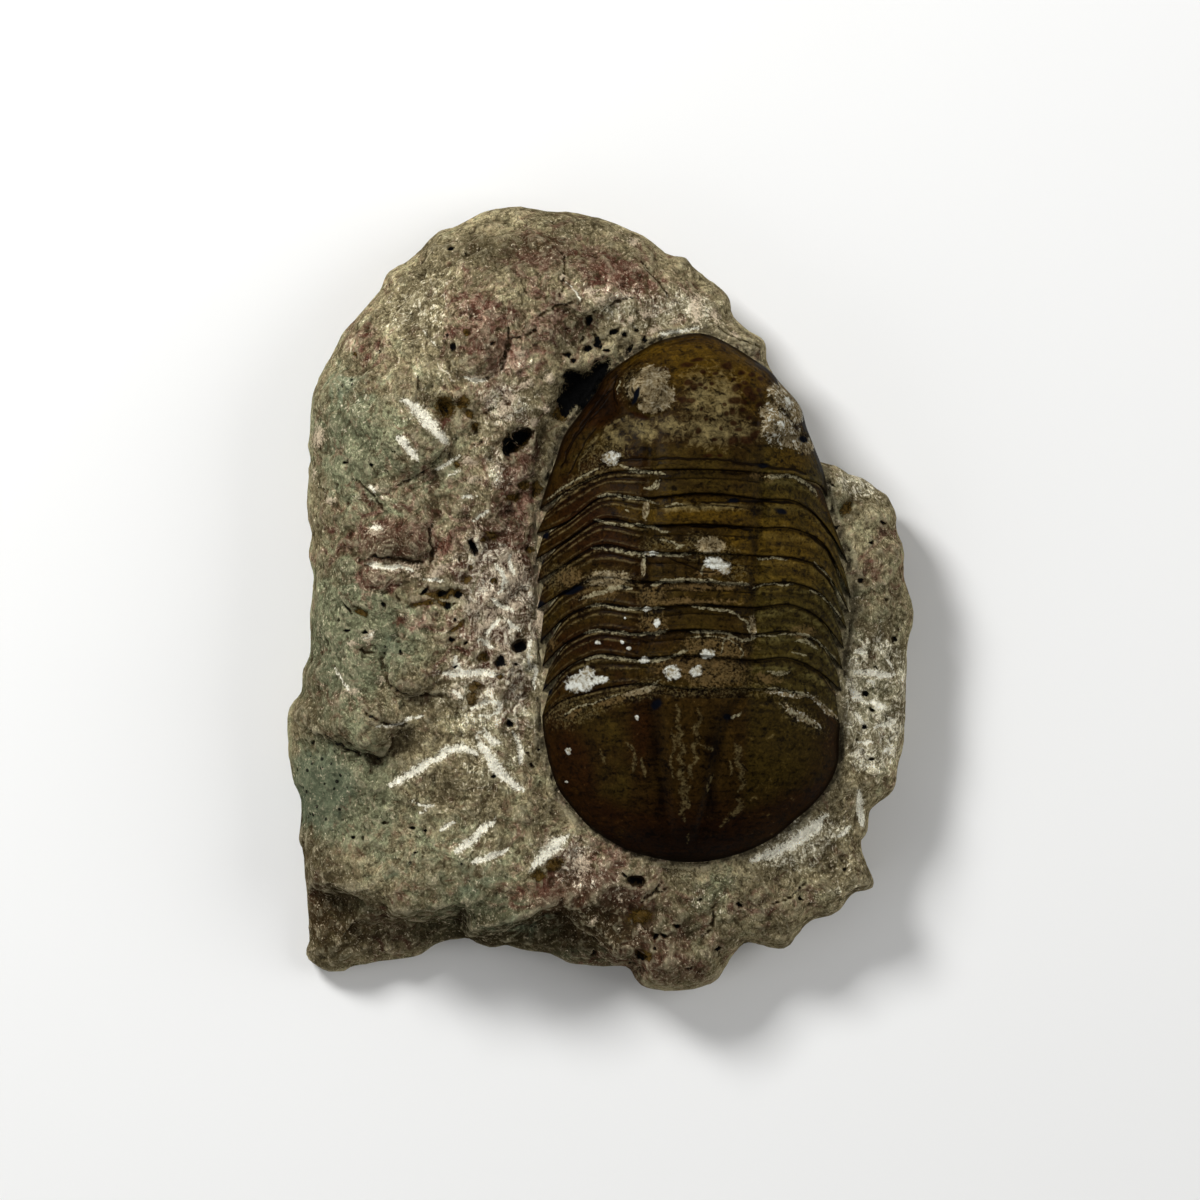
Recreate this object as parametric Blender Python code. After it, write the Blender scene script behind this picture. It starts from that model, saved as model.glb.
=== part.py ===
"""Trilobite fossil lying back up in a loose lump of limestone.

The frame has its origin under the middle of the stone, on the surface that it rests on. +Y points to
the animal's head, +X to the animal's right side as seen from above, and +Z up. Shapes are worked out in
millimetres and handed to Blender in metres.
"""

import math

import bpy
import numpy as np
from mathutils import Vector, noise
from mathutils.geometry import delaunay_2d_cdt

MM = 0.001

# Driving dimensions, in millimetres.
BODY_TILT_DEG = 3.3
BODY_CENTRE = (13.6, 0.0)
HEAD_END = 37.25
TAIL_END = -36.7
HEAD_BEND = 16.0
TAIL_BEND = -14.0
CREST_HEIGHT = 12.6
MARGIN_LEVEL = 16.2
MARGIN_ROLL = -0.03
MARGIN_PITCH = 0.01
DOME_POWER = 0.62
SHELL_THICKNESS = 1.8
PLATE_GAP = 0.22
TIP_SETBACK = 0.035
TIP_START = 0.8
AXIS_HALF_WIDTH = 7.8
AXIS_RISE = 0.9
AXIS_FLANK = 0.55
AXIS_FLANK_START = 0.35
FURROW_DEPTH = 0.6
FURROW_WIDTH = 0.75
TAIL_AXIS_TIP = -35.0
TAIL_AXIS_FADE = 6.0
TAIL_AXIS_SHARE = 0.75
HEAD_AXIS_END = 22.0
HEAD_AXIS_FADE = 5.0
HEAD_AXIS_SHARE = 0.35
MARGIN_FADE = 4.0
PLATE_LIFT = 0.55
PLATE_LIFT_TURN = 0.45
PLEURAL_FURROW_DEPTH = 0.28
PLEURAL_FURROW_PLACE = 0.62
PLEURAL_FURROW_WIDTH = 0.2
PLEURA_START = 0.36
PLEURA_RISE = 12.0

# The stone around the shell, and the bed that the shell lies in.
BED_GAP = 0.45
BED_MARGIN = 0.4
BED_EDGE_DEPTH = 2.2
BED_EDGE_POWER = 4
BED_CUT_TOP = 60.0
BED_COLUMNS = 20
BED_ROWS = 26
GROUND_CUT_WIDTH = 200.0
GROUND_CUT_DEPTH = 40.0
BANK_HEIGHT = 0.4
BANK_WIDTH = 3.2
GRID_STEP = 1.25
GRID_ROW = GRID_STEP * math.sqrt(3) / 2
GRID_CLEARANCE = 0.55 * GRID_STEP
OUTLINE_STEP = 1.5
CURVE_SAMPLES = 12
SHELL_OUTLINE_STEPS = 60
WALL_ROWS = 5
WALL_FALL = 1.7
WALL_CURVE = 0.96
WALL_LEAST_INSET = 0.25
WALL_ROUGH_START = 2.0
WALL_INSET_START = 3.0
WALL_SMOOTHING = 6
MATRIX_SHARE = 0.29
SUNK_BELOW = 1.0
SCARP_WIDTH = 2.6
SCARP_FOOT_RISE = 1.35
SCARP_FOOT_POWER = 0.85
STEP_REACH = 3.0
QUIET_EDGE = 2.5
QUIET_BANK = 4.0
# Rough relief of broken limestone: size of the forms and how far they stand out, on top and on the sides.
TOP_RELIEF = ((8.0, 0.55), (3.2, 0.35))
SIDE_RELIEF = ((11.0, 1.5), (4.5, 0.9))
RELIEF_OFFSET = (7.3, 1.9)
RELIEF_GAIN = 1.4
# A lump's profile: how blunt its top is, how much blunter on its steep side, and how its foot runs out.
LUMP_POWER = 3.5
LUMP_STEEPNESS = 2.5
LUMP_FOOT = 1.3
RIM_BLEND = 4.0

# The stone's outline from above, clockwise from the back left, in millimetres.
STONE_OUTLINE = [
    (-23.0, 51.5), (-20.4, 52.4), (-16.8, 54.3), (-13.0, 55.2), (-10.5, 55.2), (-6.7, 54.5), (-4.5, 54.6),
    (-0.8, 53.8), (3.2, 52.5), (6.2, 51.0), (9.2, 48.7), (11.9, 48.0), (13.0, 46.8), (16.2, 44.4),
    (18.1, 42.3), (18.5, 40.0), (20.7, 37.9), (23.0, 36.4), (23.5, 33.5), (25.2, 30.2), (26.2, 29.4),
    (27.0, 27.6), (27.6, 25.2), (28.6, 22.6), (29.6, 19.9), (32.6, 18.9), (34.7, 17.6), (37.1, 16.9),
    (39.2, 15.3), (40.3, 14.8), (41.6, 12.3), (41.6, 9.8), (42.8, 7.3), (42.8, 3.5), (43.8, 0.0),
    (44.0, -3.1), (43.1, -6.3), (43.1, -14.0), (42.6, -19.6), (42.0, -22.5), (41.3, -26.5), (38.0, -29.5),
    (37.5, -32.8), (36.7, -34.4), (38.4, -39.5), (37.7, -40.7), (35.7, -41.2), (32.8, -44.1),
    (29.5, -45.1), (27.7, -47.3), (25.8, -48.9), (20.9, -48.3), (18.9, -50.0), (16.4, -53.6),
    (13.9, -54.7), (9.0, -55.0), (6.0, -54.5), (3.9, -51.9), (0.3, -51.8), (-4.2, -51.1), (-6.6, -50.0),
    (-11.3, -49.3), (-13.2, -48.7), (-15.3, -49.0), (-17.5, -48.3), (-18.6, -47.6), (-19.9, -47.7),
    (-22.7, -48.2), (-23.8, -48.9), (-25.5, -50.1), (-29.0, -50.7), (-34.7, -51.8), (-36.3, -52.4),
    (-38.8, -52.1), (-41.3, -50.4), (-41.4, -49.0), (-41.0, -47.3), (-41.7, -36.5), (-42.3, -33.6),
    (-42.1, -28.3), (-43.1, -25.2), (-43.9, -19.2), (-43.9, -16.7), (-43.3, -14.8), (-42.1, -13.0),
    (-41.7, -9.9), (-40.7, -7.6), (-40.7, -1.8), (-40.3, 3.2), (-40.9, 6.2), (-40.5, 9.7), (-41.0, 11.1),
    (-41.0, 17.8), (-40.5, 19.9), (-40.9, 22.0), (-40.6, 28.1), (-40.0, 30.1), (-39.1, 32.1),
    (-37.5, 34.7), (-36.3, 37.5), (-34.4, 39.6), (-30.8, 43.8), (-29.7, 45.9), (-26.6, 48.2),
]

# Heights of the stone's upper face: x, y, height.
STONE_LEVELS = [
    (-17, 52, 17), (-8, 51, 18), (3, 49, 17), (11, 43, 16), (17, 39, 15.5), (-25, 43, 18.5),
    (-17, 43, 21.5), (-7, 43, 21.5), (3, 42, 19), (8, 39, 17.5), (-34, 35, 18.5), (-25, 35, 22),
    (-17.5, 35, 22.5), (-8, 35, 21), (-1.5, 35, 18.5), (-37, 25, 18.5), (-31, 27, 21.5), (-22, 29, 22.5),
    (-14, 28, 21), (-7, 27, 18.5), (-38, 14, 18), (-31, 14, 20.5), (-22, 14, 21), (-14, 14, 19),
    (-10, 11, 17), (-38, 3, 18), (-28, 0, 20.5), (-20, 0, 21), (-13, 0, 18.5), (-10, 0, 17.2),
    (-38, -8, 18), (-28, -9, 20), (-21, -10, 20), (-14, -11, 18.5), (-10, -11, 17), (-41, -17, 14),
    (-35, -16, 19), (-25, -20, 18.5), (-17, -20, 18), (-10, -22, 16.5), (-41, -27, 11.5), (-35, -28, 15.5),
    (-28, -28, 17.5), (-20, -28, 18), (-11, -31, 17.5), (-6, -35, 16.5), (-38, -36, 14.5),
    (-31, -38, 16.5), (-22, -39, 17.5), (-14, -41, 17.5), (-7, -41, 16.5), (0, -39, 16), (7, -42, 15.5),
    (14, -41, 15), (22, -39, 14.5), (31, -35, 14), (36, -28, 13.5), (6, -49, 13), (14, -49, 12.5),
    (22, -45, 12.5), (31, -41, 13), (35, 14, 13.5), (39, 6, 13.5), (39, -6, 14), (39, -14, 13.5),
    (38, -22, 13.5), (14, 20, 15), (14, 0, 15), (14, -20, 15),
]

# How the stone's edge is rounded: x, y, height of the widest line, rounding radius, inset of the base.
STONE_RIM = [
    (-35, 38, 8, 12, 5), (-12, 55, 8, 14, 6), (14, 46, 9, 9, 5), (24, 33, 12, 3, 5), (29, 22, 12.5, 2, 5),
    (39, 14, 9, 5, 4), (44, -4, 9, 5, 5), (42, -22, 8, 4, 4), (37, -34, 9, 3, 4), (38, -40, 8, 3, 4),
    (26, -48, 7, 4, 4), (12, -54.5, 5, 5, 5), (-2, -51, 4, 3, 3), (-15, -48.5, 4, 2.5, 3),
    (-30, -50.5, 3.5, 3, 2.5), (-41, -51, 3, 3, 2.5), (-42, -34, 4, 3, 3), (-44, -18, 7, 5, 4),
    (-41, -5, 8, 6, 4), (-41, 10, 8, 7, 4), (-40.5, 28, 8, 9, 5),
]

# Raised lumps: x, y, half length, half width, turn, height, direction of the steep side.
STONE_LUMPS = [
    (-17.5, 34.7, 4.4, 4.2, 0, 1.7, 0),
    (-26.3, 22.1, 5.4, 4.8, 40, 2.0, -50),
    (-18.1, 28.8, 3.0, 2.4, 10, 0.8, -60),
    (-29.1, 8.7, 6.4, 3.9, 0, 1.9, -60),
    (-30.2, 3.1, 3.2, 1.9, 0, 0.9, -90),
    (-26.2, -9.7, 4.4, 3.6, 20, 1.4, -140),
    (-33.5, -16.2, 5.6, 5.2, 0, 2.3, -75),
    (11.2, -51.1, 6.2, 4.0, 0, 1.4, -90),
    (39.2, 13.0, 3.6, 3.2, 0, 0.9, 180),
    (40.0, 2.5, 2.8, 6.0, 0, 0.9, 180),
    (17.5, 42.7, 4.0, 3.4, -40, 1.0, -130),
    (35.5, -37.5, 3.6, 2.8, -40, 1.0, 150),
    (25.0, -44.5, 5.0, 2.8, 15, 0.9, 90),
    (-3.0, 43.5, 5.5, 3.6, -20, 1.1, -120),
]

# Pits that are deep enough to see from a step away: x, y, half length, half width, turn, depth.
STONE_PITS = [
    (-3.2, 29.2, 3.8, 2.4, 60, 1.3), (-10.8, 22.8, 1.6, 1.1, 20, 1.3), (-12.6, 21.2, 1.1, 1.0, 0, 1.2),
    (-21.5, 27.0, 1.3, 1.2, 0, 1.1), (-17.8, 7.4, 1.3, 0.8, 110, 1.2), (-11.2, -6.6, 1.3, 0.9, 50, 1.2),
    (4.9, -39.2, 1.4, 0.8, -20, 1.2), (0.6, 36.0, 1.0, 0.7, -60, 1.0), (4.3, 34.8, 1.6, 0.8, 40, 1.1),
]

# The broken edge of the front ledge, and the foot of the stone in front of it.
FRONT_SCARP = [
    (-42.5, -40.5), (-38.0, -40.8), (-33.6, -41.2), (-30.7, -42.3), (-29.1, -44.1), (-24.5, -44.2),
    (-22.3, -43.7), (-19.3, -43.3), (-18.1, -47.0), (-13.3, -46.3), (-9.9, -44.7), (-7.3, -43.7),
    (-5.3, -42.7), (-2.2, -45.8), (0.7, -49.0), (3.5, -53.0), (4.0, -60.0), (-46.0, -60.0),
]

# Steps in the stone's upper face: points along the step's foot, drop, width. The low side is to the right
# of the direction of travel.
STONE_STEPS = [
    ([(-29.4, -6.4), (-30.4, -8.1), (-29.7, -11.2), (-26.9, -13.2), (-23.7, -13.2)], 0.9, 0.7),
    ([(-38.9, -18.5), (-35.8, -20.2), (-34.2, -21.4), (-30.9, -22.1), (-29.0, -20.7), (-28.6, -19.6)], 1.0, 0.8),
    ([(-21.0, 21.4), (-23.1, 19.2), (-25.3, 17.4), (-28.3, 16.1)], -0.9, 0.8),
    ([(-12.7, 38.5), (-12.6, 34.5), (-13.4, 32.2), (-15.5, 31.2)], 1.0, 0.7),
]

# Shell outline in the body's own frame, from head to tail: along, left, right.
SHELL_OUTLINE = [
    (36.9, -4.2, 0.2), (35.9, -7.3, 2.6), (34.7, -9.4, 4.8), (32.8, -12.1, 8.0), (30.9, -14.3, 9.9),
    (28.0, -15.9, 12.7), (24.9, -18.0, 13.9), (22.3, -19.7, 15.1), (18.4, -20.9, 16.8),
    (14.6, -22.0, 17.6), (11.0, -22.8, 19.1), (7.9, -23.0, 20.2), (4.3, -22.9, 21.2), (1.5, -22.5, 21.5),
    (-2.6, -22.3, 21.2), (-7.5, -21.5, 20.9), (-10.5, -21.1, 20.9), (-14.0, -20.9, 21.0),
    (-18.0, -20.7, 20.9), (-22.0, -19.9, 20.9), (-25.2, -18.9, 19.6), (-27.9, -17.6, 17.6),
    (-30.2, -15.6, 15.2), (-32.7, -13.0, 12.4), (-34.5, -9.9, 9.3), (-35.7, -7.0, 6.2), (-36.4, -3.5, 3.5),
]

# Crest height as a share of the highest, along the body from tail to head.
CREST_PROFILE = [(-36.7, 0.88), (-25, 0.93), (-14, 0.98), (-4, 1.0), (6, 1.0), (16, 0.95), (26, 0.88), (37, 0.8)]

# Half width of the tail's axis, from its tip forward.
TAIL_AXIS = [(-33.5, 1.6), (-31.0, 2.2), (-22.0, 4.0), (-15.0, 5.6), (-12.0, 7.2)]

# The nine seams between the plates, head first. Each has its left tip, then how far along the body it
# lies at SEAM_STATIONS, then its right tip.
SEAM_STATIONS = (-19.0, -14.5, -8.0, 0.0, 7.8, 13.5, 17.5)
SEAMS = [
    ((-22.6, 11.4), (14.0, 16.4, 17.4, 18.0, 18.0, 17.6, 15.3), (18.5, 13.4)),
    ((-23.0, 7.9), (9.6, 13.3, 13.6, 14.7, 14.4, 14.1, 11.0), (21.1, 5.7)),
    ((-22.9, 4.3), (6.9, 10.2, 9.8, 10.4, 10.4, 10.4, 8.3), (21.5, 1.4)),
    ((-22.5, 1.2), (3.6, 6.6, 6.1, 6.4, 6.5, 6.4, 4.9), (21.3, -0.6)),
    ((-22.3, -2.6), (-0.3, 2.2, 2.0, 2.4, 2.5, 3.0, 1.4), (21.1, -2.9)),
    ((-21.6, -7.3), (-4.2, -1.6, -1.7, -0.7, -0.7, -0.1, -2.0), (20.9, -5.7)),
    ((-21.1, -10.6), (-8.1, -5.2, -5.2, -4.2, -4.4, -3.8, -5.2), (20.9, -8.6)),
    ((-20.9, -14.0), (-11.8, -8.7, -8.6, -7.8, -8.0, -7.5, -9.1), (20.9, -11.6)),
    ((-20.8, -17.8), (-15.9, -13.8, -12.2, -12.5, -12.0, -12.0, -13.2), (20.8, -16.0)),
]

# Where the plates' grid lines lie across the body, as a share of the half width.
ACROSS = (0.0, 0.12, 0.24, 0.31, 0.345, 0.38, 0.48, 0.63, 0.76, 0.88, 1.0)
ALONG_SEGMENT = (0.0, 0.32, 0.62, 1.0)
SHIELD_COLUMNS = 26
SHIELD_ROWS = 8

# The suture between the head's middle and its left cheek, from the front back, and the step down to the cheek.
CHEEK_SUTURE = [(-9.8, 33.1), (-12.5, 30.0), (-12.7, 27.9), (-11.9, 25.3), (-14.3, 23.6), (-17.3, 18.0), (-17.6, 15.0)]
CHEEK_STEP = 0.8
CHEEK_REAR = (13.0, 3.0)

# Stumps of the broken eyes, on the head's two sides: across, along, radius, height.
HEAD_BOSSES = [(-8.7, 28.5, 3.9, 1.9), (10.2, 29.0, 2.7, 1.5), (9.3, 24.9, 2.9, 1.6)]
BOSS_STEEPNESS = 1.6

# Plain colours and roughness of the two materials.
LIMESTONE = ((0.26, 0.23, 0.16), 0.9)
CALCITE = ((0.07, 0.045, 0.014), 0.4)


def hermite(x, xs, ys):
    """Smooth curve through hand-placed points, read at x, with xs rising."""
    xs, ys = np.asarray(xs, float), np.asarray(ys, float)
    slopes = np.gradient(ys, xs)
    x = np.clip(x, xs[0], xs[-1])
    i = np.clip(np.searchsorted(xs, x) - 1, 0, len(xs) - 2)
    h = xs[i + 1] - xs[i]
    t = (x - xs[i]) / h
    near = (1 + 2 * t) * (1 - t) ** 2 * ys[i] + t * (1 - t) ** 2 * h * slopes[i]
    far = t * t * (3 - 2 * t) * ys[i + 1] + t * t * (t - 1) * h * slopes[i + 1]
    return near + far


def ease(t):
    t = np.clip(t, 0.0, 1.0)
    return t * t * (3 - 2 * t)


def evenly(points, step, closed=True):
    """Points at even steps along a smooth curve through hand-placed points."""
    p = np.asarray(points, float)
    n = len(p)
    at = (lambda i: p[i % n]) if closed else (lambda i: p[min(max(i, 0), n - 1)])
    fine = []
    for i in range(n if closed else n - 1):
        a, b, c, d = at(i - 1), at(i), at(i + 1), at(i + 2)
        for t in np.linspace(0, 1, CURVE_SAMPLES, endpoint=False):
            fine.append(
                0.5 * (2 * b + (c - a) * t + (2 * a - 5 * b + 4 * c - d) * t * t + (3 * b - a - 3 * c + d) * t**3)
            )
    fine.append(at(n) if closed else p[-1])
    fine = np.array(fine)
    run = np.concatenate([[0], np.cumsum(np.linalg.norm(np.diff(fine, axis=0), axis=1))])
    count = max(4, round(run[-1] / step))
    where = np.linspace(0, run[-1], count, endpoint=not closed)
    return np.stack([np.interp(where, run, fine[:, 0]), np.interp(where, run, fine[:, 1])], axis=1)


def distance_to(line, x, y, closed=True):
    """Distance from each point to a line of points, and the side: positive to the left of its travel."""
    a = np.asarray(line, float)
    b = np.roll(a, -1, axis=0)
    if not closed:
        a, b = a[:-1], b[:-1]
    best = np.full(x.shape, np.inf)
    side = np.zeros(x.shape)
    for (ax, ay), (bx, by) in zip(a, b):
        dx, dy = bx - ax, by - ay
        t = np.clip(((x - ax) * dx + (y - ay) * dy) / (dx * dx + dy * dy + 1e-12), 0, 1)
        ex, ey = x - ax - t * dx, y - ay - t * dy
        d = np.hypot(ex, ey)
        nearer = d < best
        best = np.where(nearer, d, best)
        side = np.where(nearer, dx * ey - dy * ex, side)
    return best, np.sign(side)


def inside(polygon, x, y):
    p = np.asarray(polygon, float)
    q = np.roll(p, -1, axis=0)
    found = np.zeros(x.shape, bool)
    for (ax, ay), (bx, by) in zip(p, q):
        if ay == by:
            continue
        crosses = ((ay > y) != (by > y)) & (x < (bx - ax) * (y - ay) / (by - ay) + ax)
        found ^= crosses
    return found


def thin_plate(marks):
    """A smooth height over the plane that passes through every mark."""
    m = np.asarray(marks, float)
    n = len(m)

    def kernel(r2):
        return 0.5 * r2 * np.log(r2 + 1e-9)

    r2 = (m[:, None, 0] - m[None, :, 0]) ** 2 + (m[:, None, 1] - m[None, :, 1]) ** 2
    ones = np.column_stack([np.ones(n), m[:, :2]])
    system = np.block([[kernel(r2), ones], [ones.T, np.zeros((3, 3))]])
    weights = np.linalg.solve(system, np.concatenate([m[:, 2], np.zeros(3)]))

    def height(x, y):
        total = weights[n] + weights[n + 1] * x + weights[n + 2] * y
        for (mx, my, _), w in zip(m, weights):
            total = total + w * kernel((x - mx) ** 2 + (y - my) ** 2)
        return total

    return height


def to_part(u, v):
    """Body frame, across and along the animal, to the part's frame."""
    tilt = math.radians(BODY_TILT_DEG)
    x = BODY_CENTRE[0] + u * math.cos(tilt) + v * math.sin(tilt)
    y = BODY_CENTRE[1] - u * math.sin(tilt) + v * math.cos(tilt)
    return x, y


def to_body(x, y):
    tilt = math.radians(BODY_TILT_DEG)
    dx, dy = x - BODY_CENTRE[0], y - BODY_CENTRE[1]
    return dx * math.cos(tilt) - dy * math.sin(tilt), dx * math.sin(tilt) + dy * math.cos(tilt)


def end_reach(v):
    """0 along the thorax, rising to 1 at the tips of head and tail."""
    head = (v - HEAD_BEND) / (HEAD_END - HEAD_BEND)
    tail = (TAIL_BEND - v) / (TAIL_BEND - TAIL_END)
    return np.clip(np.maximum(head, tail), 0.0, 1.0)


def shell_half(v):
    """Half width of the shell and its middle line at v. The ends close like an ellipse."""
    table = np.array(sorted(SHELL_OUTLINE))
    closing = np.sqrt(1 - end_reach(table[:, 0]) ** 2)
    full = (table[:, 2] - table[:, 1]) / 2 / closing
    middle = (table[:, 2] + table[:, 1]) / 2
    half = hermite(v, table[:, 0], full) * np.sqrt(np.clip(1 - end_reach(v) ** 2, 0, 1))
    return half, hermite(v, table[:, 0], middle)


def margin_level(u, v):
    return MARGIN_LEVEL + MARGIN_ROLL * u + MARGIN_PITCH * v


def side_reach(u, v):
    """0 on the shell's middle line, rising to 1 at its side edges."""
    half, middle = shell_half(v)
    return np.clip(np.abs(u - middle) / np.maximum(half, 1e-6), 0, 1)


def dome_height(u, v):
    """Height of the smooth dome that the shell follows."""
    fall = (1 - end_reach(v) ** 2) * (1 - side_reach(u, v) ** 2)
    crest = CREST_HEIGHT * hermite(v, *zip(*CREST_PROFILE))
    return margin_level(u, v) + crest * np.clip(fall, 0, 1) ** DOME_POWER


def axis_strength(v):
    """How far the axis stands out: less on the tail, fading at its tip, and less over the head."""
    to_tail = ease((HEAD_BEND - v) / (HEAD_BEND - TAIL_BEND)) * (1 - TAIL_AXIS_SHARE)
    at_tail = ease((v - TAIL_AXIS_TIP) / TAIL_AXIS_FADE) * (1 - to_tail)
    at_head = HEAD_AXIS_SHARE + (1 - HEAD_AXIS_SHARE) * ease((HEAD_AXIS_END - v) / HEAD_AXIS_FADE)
    return np.where(v > HEAD_BEND, at_head, at_tail)


def shell_height(u, v):
    """Height of the shell's outer face, before each plate's own lift."""
    axis = np.where(v < TAIL_AXIS[-1][0], hermite(v, *zip(*TAIL_AXIS)), AXIS_HALF_WIDTH)
    ring = AXIS_RISE * ease((axis - np.abs(u)) / (AXIS_FLANK * axis) + AXIS_FLANK_START)
    furrow = -FURROW_DEPTH * np.exp(-(((np.abs(u) - axis) / FURROW_WIDTH) ** 2))
    relief = axis_strength(v) * (ring + furrow)
    for bu, bv, radius, rise in HEAD_BOSSES:
        relief = relief + rise * ease(BOSS_STEEPNESS * (1 - np.hypot(u - bu, v - bv) / radius))
    gap, side = distance_to(CHEEK_SUTURE, u + 0 * v, v + 0 * u, closed=False)
    on_cheek = (side < 0) & (u < 0)
    rear, length = CHEEK_REAR
    relief = relief - CHEEK_STEP * np.where(on_cheek, ease(gap), 0) * ease((v - rear) / length)
    return dome_height(u, v) + relief * ease(MARGIN_FADE * (1 - side_reach(u, v)))


def seam_line(seam, share):
    """A point of a seam: share runs from -1 at the left tip to 1 at the right one."""
    left, middle, right = seam
    across = np.array([left[0], *SEAM_STATIONS, right[0]])
    along = np.array([left[1], *middle, right[1]])
    u = np.where(share < 0, -share * left[0], share * right[0])
    return u, hermite(u, across, along)


def shield_edge(tip_left, tip_right, end, share):
    """A point of the head's or tail's free edge, at an even angle between its two corners."""
    sweep = (share + 1) / 2
    left_v, right_v = tip_left[1], tip_right[1]
    corner = np.where(sweep < 0.5, left_v, right_v)
    v = corner + (end - corner) * np.sin(math.pi * sweep)
    half, middle = shell_half(v)
    u = np.where(sweep < 0.5, middle - half, middle + half)
    return np.where(np.abs(sweep - 0.5) < 1e-9, middle, u), v


def new_object(name, points, faces, material):
    mesh = bpy.data.meshes.new(name)
    mesh.from_pydata([tuple(p) for p in np.asarray(points) * MM], [], faces)
    mesh.validate()
    mesh.update()
    obj = bpy.data.objects.new(name, mesh)
    bpy.context.collection.objects.link(obj)
    obj.data.materials.append(material)
    return obj


def slab(name, top, bottom, material):
    """A closed solid between two grids of the same size. A grid's end columns may shrink to a point."""
    rows, columns, _ = top.shape
    points, index = [], {}

    def corner(grid, i, j, layer):
        key = (layer, *np.round(grid[i, j], 5))
        if key not in index:
            index[key] = len(points)
            points.append(grid[i, j])
        return index[key]

    faces = []

    def add(*corners):
        ring = [c for k, c in enumerate(corners) if c != corners[k - 1]]
        if len(ring) > 2:
            faces.append(ring)

    for i in range(rows - 1):
        for j in range(columns - 1):
            square = [(i, j), (i, j + 1), (i + 1, j + 1), (i + 1, j)]
            up = [corner(top, *c, 0) for c in square]
            down = [corner(bottom, *c, 1) for c in square]
            add(up[0], up[1], up[2])
            add(up[0], up[2], up[3])
            add(down[2], down[1], down[0])
            add(down[3], down[2], down[0])
    border = [(0, j) for j in range(columns)] + [(i, columns - 1) for i in range(1, rows)]
    border += [(rows - 1, j) for j in range(columns - 2, -1, -1)] + [(i, 0) for i in range(rows - 2, 0, -1)]
    for a, b in zip(border, border[1:] + border[:1]):
        add(corner(top, *b, 0), corner(top, *a, 0), corner(bottom, *a, 1), corner(bottom, *b, 1))
    return new_object(name, points, faces, material)


def grid_points(u, v, z):
    x, y = to_part(u, v)
    return np.stack([x, y, z], axis=-1)


def make_segment(number, front, rear, material):
    share = np.array([-a for a in ACROSS[:0:-1]] + list(ACROSS))
    u0, v0 = seam_line(front, share)
    u1, v1 = seam_line(rear, share)
    v0, v1 = v0 - PLATE_GAP, v1 + PLATE_GAP
    s = np.array(ALONG_SEGMENT)[:, None]
    u, v = u0 + (u1 - u0) * s, v0 + (v1 - v0) * s
    u = u * (1 - TIP_SETBACK * (1 - s) * ease((np.abs(share) - TIP_START) / (1 - TIP_START)))
    half, middle = shell_half(v)
    u = np.clip(u, middle - half, middle + half)
    from_tip = ease(MARGIN_FADE * (1 - np.abs(share)))
    lift = PLATE_LIFT * (s - PLATE_LIFT_TURN)
    furrow = np.exp(-(((s - PLEURAL_FURROW_PLACE) / PLEURAL_FURROW_WIDTH) ** 2))
    pleura = PLEURAL_FURROW_DEPTH * furrow * ease((np.abs(share) - PLEURA_START) * PLEURA_RISE)
    top = grid_points(u, v, shell_height(u, v) + (lift - pleura) * from_tip)
    bottom = grid_points(u, v, dome_height(u, v) - SHELL_THICKNESS)
    return slab(f"thorax_segment_{number}", top[::-1], bottom[::-1], material)


def make_shield(name, seam, end, gap, material):
    share = np.linspace(-1, 1, SHIELD_COLUMNS + 1)
    u0, v0 = seam_line(seam, share)
    v0 = v0 + gap
    left, right = (seam[0][0], seam[0][1] + gap), (seam[2][0], seam[2][1] + gap)
    u1, v1 = shield_edge(left, right, end, share)
    s = np.sin(np.linspace(0, math.pi / 2, SHIELD_ROWS + 1))[:, None]
    u, v = u0 + (u1 - u0) * s, v0 + (v1 - v0) * s
    half, middle = shell_half(v)
    u = np.clip(u, middle - half, middle + half)
    top = grid_points(u, v, shell_height(u, v))
    bottom = grid_points(u, v, dome_height(u, v) - SHELL_THICKNESS)
    if end < 0:
        top, bottom = top[::-1], bottom[::-1]
    return slab(name, top, bottom, material)


def shell_outline(margin=0.0):
    """The whole shell's outline in the part's frame, counterclockwise from the tail."""
    turn = np.linspace(-math.pi / 2, math.pi / 2, SHELL_OUTLINE_STEPS)
    v = (HEAD_END + TAIL_END) / 2 + (HEAD_END - TAIL_END) / 2 * np.sin(turn)
    half, middle = shell_half(v)
    grow = margin * np.cos(turn)
    right = np.stack([middle + half + grow, v + margin * np.sin(turn)], axis=1)
    left = np.stack([middle - half - grow, v + margin * np.sin(turn)], axis=1)
    ring = np.concatenate([right, left[-2:0:-1]])
    return np.stack(to_part(ring[:, 0], ring[:, 1]), axis=1)


def rough(points, relief):
    """Fractal relief of broken stone at each point."""
    total = np.zeros(len(points))
    for size, rise in relief:
        offset = Vector((*RELIEF_OFFSET, size))
        total += rise * np.array([noise.noise(Vector(p) / size + offset) for p in points])
    return total * RELIEF_GAIN


def lump(x, y, cx, cy, long, wide, turn, rise, steep):
    a = math.radians(turn)
    dx, dy = x - cx, y - cy
    p, q = (dx * math.cos(a) + dy * math.sin(a)) / long, (-dx * math.sin(a) + dy * math.cos(a)) / wide
    r = np.hypot(p, q)
    facing = np.cos(np.arctan2(dy, dx) - math.radians(steep))
    power = LUMP_POWER + LUMP_STEEPNESS * facing
    return rise * np.clip(1 - np.clip(r, 0, 1) ** power, 0, 1) ** LUMP_FOOT


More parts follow.
